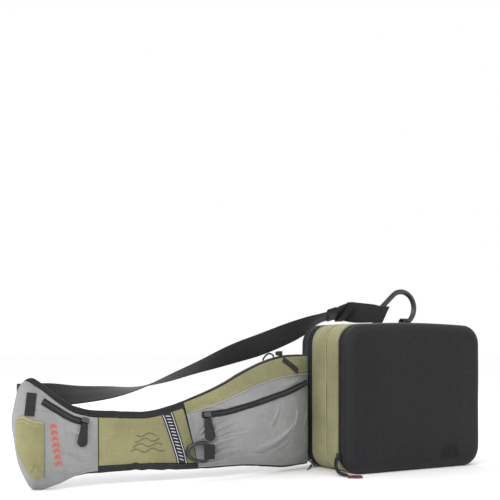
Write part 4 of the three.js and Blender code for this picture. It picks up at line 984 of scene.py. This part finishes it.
yoke_seam = level_line(big_low, big_high, YOKE + 0.0015, 1, 248)
wing_cord("yoke_piping", yoke_seam, big_out, 0.3, 1.1, "grey_piping", 8, "grey")
end_seam = end_zip_path + np.array([0, 8.0])
wing_cord("end_piping", end_seam, end_out, 0.2, 0.9, "grey_piping", 8, "grey")
mouth = level_line(end_low, end_high, np.linspace(0.685, 0.615, 40), 479, 516, 40)
wing_cord("patch_mouth_piping", mouth, patch_out, 0.3, 1.0, "piping", 8, "olive")
for label, line, surface, finish, slot in (
        ("yoke_upper", level_line(big_low, big_high, YOKE + 0.035, 3, 246), big_out, "thread", "olive"),
        ("big_foot", level_line(big_low, big_high, 0.03, 6, 228), big_out, "grey_piping", "grey"),
        ("end_foot", level_line(end_low, end_high, 0.045, 402, 500), end_out, "grey_piping", "grey"),
        ("patch_hem", level_line(end_low, end_high, np.linspace(0.645, 0.575, 40), 480, 516, 40), patch_out,
         "thread", "olive"),
        ("big_end", np.stack([big_edge(np.linspace(0.04, 0.8, 60)) - 4,
                              mix(big_low(240), big_high(246), np.linspace(0.04, 0.8, 60))], 1),
         big_out, "grey_piping", "grey")):
    stitches(label + "_stitches", on_wing(line, surface, 0.15), wing_out(line[:, 0]), finish, 2.4, 3.8, 0.4,
             slot=slot)

# Woven trim tape with two light edge lines and a plain row of slanted dashes
tape_v = np.linspace(0.0, 1.0, 60)


def tape_line(u):
    d = big_edge(tape_v) + TRIM_GAP + TRIM_W * u
    return np.stack([d, mix(panel_low(d), panel_high(d), tape_v)], 1)


tape_front = np.stack([on_wing(tape_line(u), panel_out, 1.3) for u in np.linspace(0, 1, 9)], 0)
tape_back = np.stack([on_wing(tape_line(u), panel_out, 0.1) for u in np.linspace(0, 1, 9)], 0)
sheet_mesh("trim_tape", tape_front, tape_back, "webbing", replaces=("woven_tape",))
for label, u in (("near", 0.12), ("far", 0.88)):
    wing_cord(f"trim_{label}_line", tape_line(u), panel_out, 1.3, 0.55, "white_thread", 6, "webbing")
dashes = []
for i in range(3, 57, 4):
    left, right = tape_line(0.3)[i], tape_line(0.7)[min(i + 2, 59)]
    line = on_wing([mix(left, right, t) for t in (0, 0.33, 0.67, 1)], panel_out, 1.35)
    dashes.append(tube_rings(line, [0.5, 0.75, 0.75, 0.5], 6, up=wing_out(left[0])))
join_rings("trim_dashes", dashes, "white_thread", slot="webbing")

# Plain chevrons on the end pocket and plain wavy lines on the middle panel
marks = []
for h in np.arange(38, 100, 9.0):
    for rise in (0, 3.0):
        middle = 458 + (h - 38) * 0.12
        bend = [(middle - 5, h + rise), (middle, h + 4 + rise), (middle + 5, h + rise)]
        for a, b in zip(bend, bend[1:]):
            line = on_wing([mix(np.array(a), np.array(b), t) for t in (0, 0.3, 0.7, 1)], end_out, 0.35)
            marks.append(tube_rings(line, [0.4, 0.8, 0.8, 0.4], 6, up=wing_out(466)))
join_rings("end_chevrons", marks, "red_thread", slot="grey")
waves = []
for i, h in enumerate((52, 60, 68, 76)):
    d = np.linspace(292 + 4 * i, 346 - 3 * i, 60)
    line = np.stack([d, h + 2.6 * np.sin(d / 4.4 + i * 1.7)], 1)
    waves.append(tube_rings(on_wing(line, panel_out, 0.1), 0.75, 6, up=wing_out(320)))
join_rings("panel_waves", waves, "brown_thread", slot="olive")


# Webbing pieces
def smooth(rows, per):
    rows = np.asarray(rows, float)
    padded = np.concatenate([2 * rows[:1] - rows[1:2], rows, 2 * rows[-1:] - rows[-2:-1]])
    t = (np.arange(per) / per)[:, None]
    out = []
    for i in range(1, len(padded) - 2):
        a, b, c, d = padded[i - 1], padded[i], padded[i + 1], padded[i + 2]
        out.append(0.5 * (2 * b + (c - a) * t + (2 * a - 5 * b + 4 * c - d) * t ** 2
                          + (3 * b - a - 3 * c + d) * t ** 3))
    return np.concatenate(out + [rows[-1:]])


def ribbon(name, centres, halves, thickness, per=4, **more):
    """Flat band through stations, each a centre and half its width as a vector."""
    both = smooth(np.concatenate([centres, np.broadcast_to(halves, np.shape(centres))], 1), per)
    centre, half = both[:, :3], both[:, 3:]
    ahead = frames_along(centre)
    normal = unit(np.cross(ahead, half))
    s = np.array([-1, -0.97, -0.85, -0.6, -0.3, 0, 0.3, 0.6, 0.85, 0.97, 1])
    depth = thickness / 2 * np.array([0.35, 0.8, 1, 1, 1, 1, 1, 1, 1, 0.8, 0.35])
    top = centre[:, None] + half[:, None] * s[None, :, None] + normal[:, None] * depth[None, :, None]
    low = centre[:, None] + half[:, None] * s[None, ::-1, None] - normal[:, None] * depth[None, :, None]
    return skin(name, np.concatenate([top, low], 1), "webbing", **more)


def half_width(turn, lean, width):
    turn, lean = np.radians(turn), np.radians(lean)
    v = np.stack([np.sin(lean) * np.cos(turn), np.sin(turn), np.cos(lean) * np.cos(turn)], -1)
    return unit(v) * width / 2


def strap():
    rows = np.array([(0, 0, 0, 0, 0), (0.06, 0.2, 0.3, 28, 0), (0.126, 0.47, 0.52, 47, -2),
                     (0.21, 0.72, 0.75, 64, -6), (0.29, 0.87, 0.9, 90, -10), (0.38, 0.82, 1, 114, -14),
                     (0.474, 0.67, 1, 130, -17), (0.58, 0.49, 0.95, 158, -20), (0.67, 0.38, 0.85, 178, -22),
                     (0.75, 0.2, 0.7, 172, -22), (0.82, 0.02, 0.55, 150, -20), (0.88, -0.18, 0.4, 122, -16),
                     (0.94, -0.24, 0.2, 138, -6), (1, 0, 0, 180, 8)])
    sag, bow, turn, lean = (table_curve(*rows[:, [0, k]]) for k in (1, 2, 3, 4))
    swell, height, radius, at_fold, drop, lap = 5.8, WING_H * 0.69, 4.5, 511.0, 0.42, 60
    lap_out = -PAD_EDGE - 0.3 - 1.2 - 0.3 - STRAP_T / 2
    upright = half_width(0, 0, STRAP_W)
    centres, halves = [], []

    def put(centre, half):
        centres.append(centre)
        halves.append(half)

    for share in (1, 0.6, 0.25, 0):
        d, ramp = at_fold - lap * share, min(4 * share, 1)
        across = np.array([0, 0, 1]) - drop * ramp * (wing(d + 1, 0, 0) - wing(d, 0, 0))
        put(wing(d, height - drop * lap * share, lap_out - swell * ramp), unit(across) * STRAP_W / 2)
    for i in range(1, 6):
        a = math.pi * i / 6
        put(wing(at_fold + radius * math.sin(a), height, lap_out - radius * (1 - math.cos(a))), upright)
    put(wing(at_fold, height, lap_out - 2 * radius), upright)
    start, end = wing(at_fold - 20, height, lap_out - 2 * radius), np.array([-12, HOOK_Y, CASE_H + 25])
    for at in np.linspace(0, 1, 45):
        put(start + (end - start) * at + np.array([0, 24 * bow(at), -37 * sag(at)]),
            half_width(turn(at), lean(at), STRAP_W))
    loop, at_x, at_z = 6.4, HOOK_X + 4.3, CASE_H + 22.5
    folded, entry = half_width(180, 29, STRAP_W * 0.94), half_width(180, 20, STRAP_W * 0.97)

    def lift(share):
        return mix(end[2], at_z, share)
    put((at_x - 30, HOOK_Y - loop * 0.75, lift(0.4)), entry)
    put((at_x - 18, HOOK_Y - loop, lift(0.8)), folded)
    for i in range(9):
        a = -math.pi / 2 + math.pi * i / 8
        put((at_x + loop * math.cos(a), HOOK_Y + loop * math.sin(a), at_z), folded)
    put((at_x - 18, HOOK_Y + loop, lift(0.8)), folded)
    put((at_x - 34, HOOK_Y + loop * 0.75, lift(0.35)), entry)
    put((end[0] - 6, HOOK_Y + STRAP_T + 1.5, lift(-0.1)), entry)
    ribbon("strap_web", np.array(centres), np.array(halves), STRAP_T, replaces=("strap",))
    first = 10
    for label, station, tilt, band, swell in (("lower", 40, 7, 9, 4.6), ("upper", 42, -8, 7.5, 5.4)):
        spot, half = np.array(centres[first + station]), np.array(halves[first + station])
        ahead = unit(np.array(centres[first + station + 1]) - centres[first + station - 1])
        out = np.cross(ahead, unit(half))
        a = np.linspace(0.2, 0.2 + 2 * math.pi, 25)[:, None]
        wrap = spot + 1.06 * np.cos(a) * half + swell * np.sin(a) * out + tilt * np.cos(a) * ahead
        ribbon(f"strap_fold_{label}", wrap, ahead * band, 1.5, per=3)


def hook():
    narrow, wide, span = 15.0, 31.0, HOOK_SPAN
    lean = math.asin((wide - narrow) / span)
    ahead = np.array([math.cos(lean), 0, -math.sin(lean)])
    start = np.array([-math.sin(lean), 0, -math.cos(lean)]) * narrow
    gate_length = span * math.cos(lean) - 8 - 0.6 - 7
    pivot = start + ahead * 8
    nose = pivot + ahead * (gate_length + 0.6)
    turn = math.radians(HOOK_TILT)

    def put(points):
        points = np.asarray(points, float)
        x, z = points[..., 0], points[..., 2]
        return np.stack([HOOK_X + x * math.cos(turn) - z * math.sin(turn), np.full_like(x, HOOK_Y),
                         HOOK_Z + x * math.sin(turn) + z * math.cos(turn)], -1)

    def arc(x, radius, first, last, steps):
        a = np.linspace(math.radians(first), math.radians(last), steps)
        return np.stack([x + radius * np.cos(a), np.zeros(steps), radius * np.sin(a)], 1)
    degrees = math.degrees(lean)
    path = np.concatenate([[nose], arc(span, wide, -90 - degrees, 90 + degrees, 60),
                           arc(0, narrow, 90 + degrees, 270 - degrees, 36),
                           [pivot - ahead * 5.6]])
    line = resample(path, 1.4)
    radius = np.full(len(line), 5.0)
    radius[:3], radius[-2:] = (4.0, 4.7, 4.95), (4.9, 4.5)
    tube("hook_body", put(line), radius, "metal", 18, up=(0, 1, 0), replaces=("carabiner",))
    tongue = np.array([pivot + ahead * t for t in (-7.5, -5, -3, -1, 0.5, 2, 3, 3.4)])
    tube("hook_tongue", put(tongue), [3.4, 3.5, 3.5, 3.5, 3.45, 2.9, 1.9, 0.9], "metal", 14, up=(0, 1, 0),
         squash=0.5, slot="metal")


def anchor():
    x = HOOK_X + HOOK_SPAN * math.cos(math.radians(HOOK_TILT)) + 6.67
    top, shell, wall, down = CASE_H + 7, REAR + 0.3 + 0.75, 1.5, 46
    inset = CASE_H - top + down
    sink = CROWN * (CROWN_REACH - inset) / (CROWN_REACH - REAR_FILLET)
    reach, rise = HOOK_Y - shell, 5 + 0.75 + 2.6
    spots = [(shell - sink, -down), (shell, -6)]
    spots += [(HOOK_Y + reach * math.cos(math.pi - math.pi * i / 8),
               rise * math.sin(math.pi - math.pi * i / 8)) for i in range(9)]
    spots += [(HOOK_Y + reach - 1, -10), (shell + 2 * wall + 1, -30), (shell + wall + 0.3, -36),
              (shell - sink + wall + 0.3, -down)]
    centres = np.array([(x, y, top + z) for y, z in spots])
    ribbon("anchor_web", centres, (7.5, 0, 0), wall, per=5, replaces=("anchor_loop",))
    groups = []
    for z in (-40, -44):
        for k in np.linspace(-5.5, 5.5, 4):
            line = np.array([(x + k + t, shell - sink + wall + 1.15, top + z)
                             for t in (-1.1, -0.6, 0.6, 1.1)])
            groups.append(tube_rings(line, [0.2, 0.4, 0.4, 0.2], 5, up=(0, 1, 0)))
    join_rings("anchor_stitches", groups, "dark_thread", slot="webbing")


def ring_and_tab():
    """D-ring and the web tab folded round its straight side."""
    at, wall, half, tail, rod = BIG_L - 20, 1.2, 11.5, 12, 3.0
    centre = mix(wing_foot(at), wing_top(at), 0.236)

    def seat(d):
        return 0.6 + wall / 2 + max(float(big_out(d, centre + side * half))
                                    for side in (-1, -0.5, 0, 0.5, 1))
    bar = max(seat(at), seat(at - tail / 2)) + wall / 2 + 0.3 + rod
    tip = 2.3 + 1.3 + 0.6 + 2.5
    a = np.linspace(-math.pi / 2, math.pi / 2, 40)
    reach = np.maximum(np.cos(a), 0) ** 0.75
    line = wing(at + 28 * reach, centre + 15 * np.sin(a), mix(bar, tip, reach))
    tube("ring_steel", line, rod, "metal", 14, True, up=wing_out(at), replaces=("d_ring",))
    radius, layer = rod + 0.3 + wall / 2, wall + 0.6
    spots = [(at - tail, seat(at - tail)), (at - tail / 2, seat(at - tail / 2))]
    spots += [(at + radius * math.cos(turn), bar + radius * math.sin(turn))
              for turn in np.linspace(-math.pi / 2, math.pi / 2, 9)]
    spots += [(at - tail / 2, max(bar + radius, seat(at - tail / 2) + layer)),
              (at - tail, seat(at - tail) + layer)]
    ribbon("ring_tab_web", np.array([wing(d, centre, out) for d, out in spots]), (0, 0, half), wall,
           replaces=("d_ring_tab",))


def tabs_and_pulls():
    """Web tabs and cord pulls, each where its solid lies."""
    shares = np.linspace(0, 1, 26)
    spot = END_START + 0.775 * (END_L + OVERHANG)
    foot = mix(end_low(spot), end_high(spot), 0.67) + 2.4
    end_path = np.stack([spot - 4 * shares, foot + 33 * shares], 1)
    wing_strip("end_tab_web", end_path, 14, end_out, 0.6, 1.4, "webbing", replaces=("end_tab",))
    for label, share in (("low", 0.1), ("high", 0.9)):
        bar = end_path[0] + (end_path[-1] - end_path[0]) * share + np.array([[-5, 0], [5, 0]])
        stitches(f"end_tab_{label}_stitches", on_wing(mix(bar[0], bar[1], shares[:, None]), end_out, 2.0),
                 wing_out(np.full(26, spot)), "dark_thread", 1.8, 2.6, 0.35)
    top_path = np.stack([64 - 28 * shares, wing_top(66) - 5 - 21 * shares], 1)
    wing_strip("top_pull_web", top_path, 10, big_out, 0.6, 1.6, "webbing", replaces=("top_zip_pull",))
    d = mix(78, 102, shares)
    rise = 1.05 + 8 * np.maximum(np.sin(math.pi * shares), 0) ** 0.6
    tube("top_loop_cord", wing(d, wing_top(d) + rise, -2.5), 1.5, "webbing", 12, up=wing_out(d),
         replaces=("top_zip_loop",))
    rows = np.array([(-6.15, 0, 25.5, 0), (-6.5, 0, 12, 5), (-7, -6, 3, 45), (-8, -19, 0.6, 84),
                     (-9.5, -34, 0.6, 84)])
    centres = rows[:, :3] + (-CASE_W / 2, FRONT_BAND + 8, 3.0)
    centres[:, 0] -= (1.6, 2.0, 1.4, 0.8, 0.4)
    turn = np.radians(smooth(rows[:, 3:], 8)[:, 0])
    flat = np.stack([np.cos(turn), -np.sin(turn), 0 * turn], 1)
    thick = np.interp(np.linspace(0, 1, len(turn)), (0, 0.08, 0.35, 0.8, 1), (2.6, 3.9, 4.9, 4.7, 3.6))
    tube("front_pull_cord", smooth(centres, 8), thick, "rubber", 16,
         up=flat + (0, 0, 0.35) * np.sin(turn)[:, None], squash=0.55,
         replaces=("front_zip_pull",), slot="webbing")
    rows = np.array([(0.1, -4, 4.4), (-3.2, -7.6, 1.2), (-9, -13, 0.3), (-20, -25, 0.3)])
    across = np.array([math.sin(math.pi / 4), math.cos(math.pi / 4), 0]) * 7.5
    for label, side, more in (("left", -1, {"replaces": ("rear_zip_pull",)}), ("right", 1, {})):
        apart = side * np.array([0.43, 0.45, 0.53, 0.56])[:, None] * across
        ribbon(f"rear_pull_{label}_lobe", rows + (-CASE_W / 2, REAR_BAND + 7, 1.4) + apart, across * 0.42,
               2.2, per=8, **more)


strap()
hook()
anchor()
ring_and_tab()
tabs_and_pulls()

# Solids that keep their shape: softer edges and their own finish
for node, finish in (("carabiner_gate", "metal"), ("big_zip_slider", "dark_metal"),
                     ("end_zip_slider", "dark_metal"), ("top_zip_slider", "dark_metal"),
                     ("front_zip_slider", "dark_metal"), ("rear_zip_slider", "dark_metal"),
                     ("big_zip_pull", "rubber"), ("end_zip_pull", "rubber"),
                     ("front_zip_grip", "red_rubber")):
    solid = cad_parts[node]
    solid.data.materials.clear()
    solid.data.materials.append(MATS[finish])
    bevel = solid.modifiers.new("soft edges", "BEVEL")
    bevel.width, bevel.segments, bevel.limit_method = 0.0006, 3, "ANGLE"
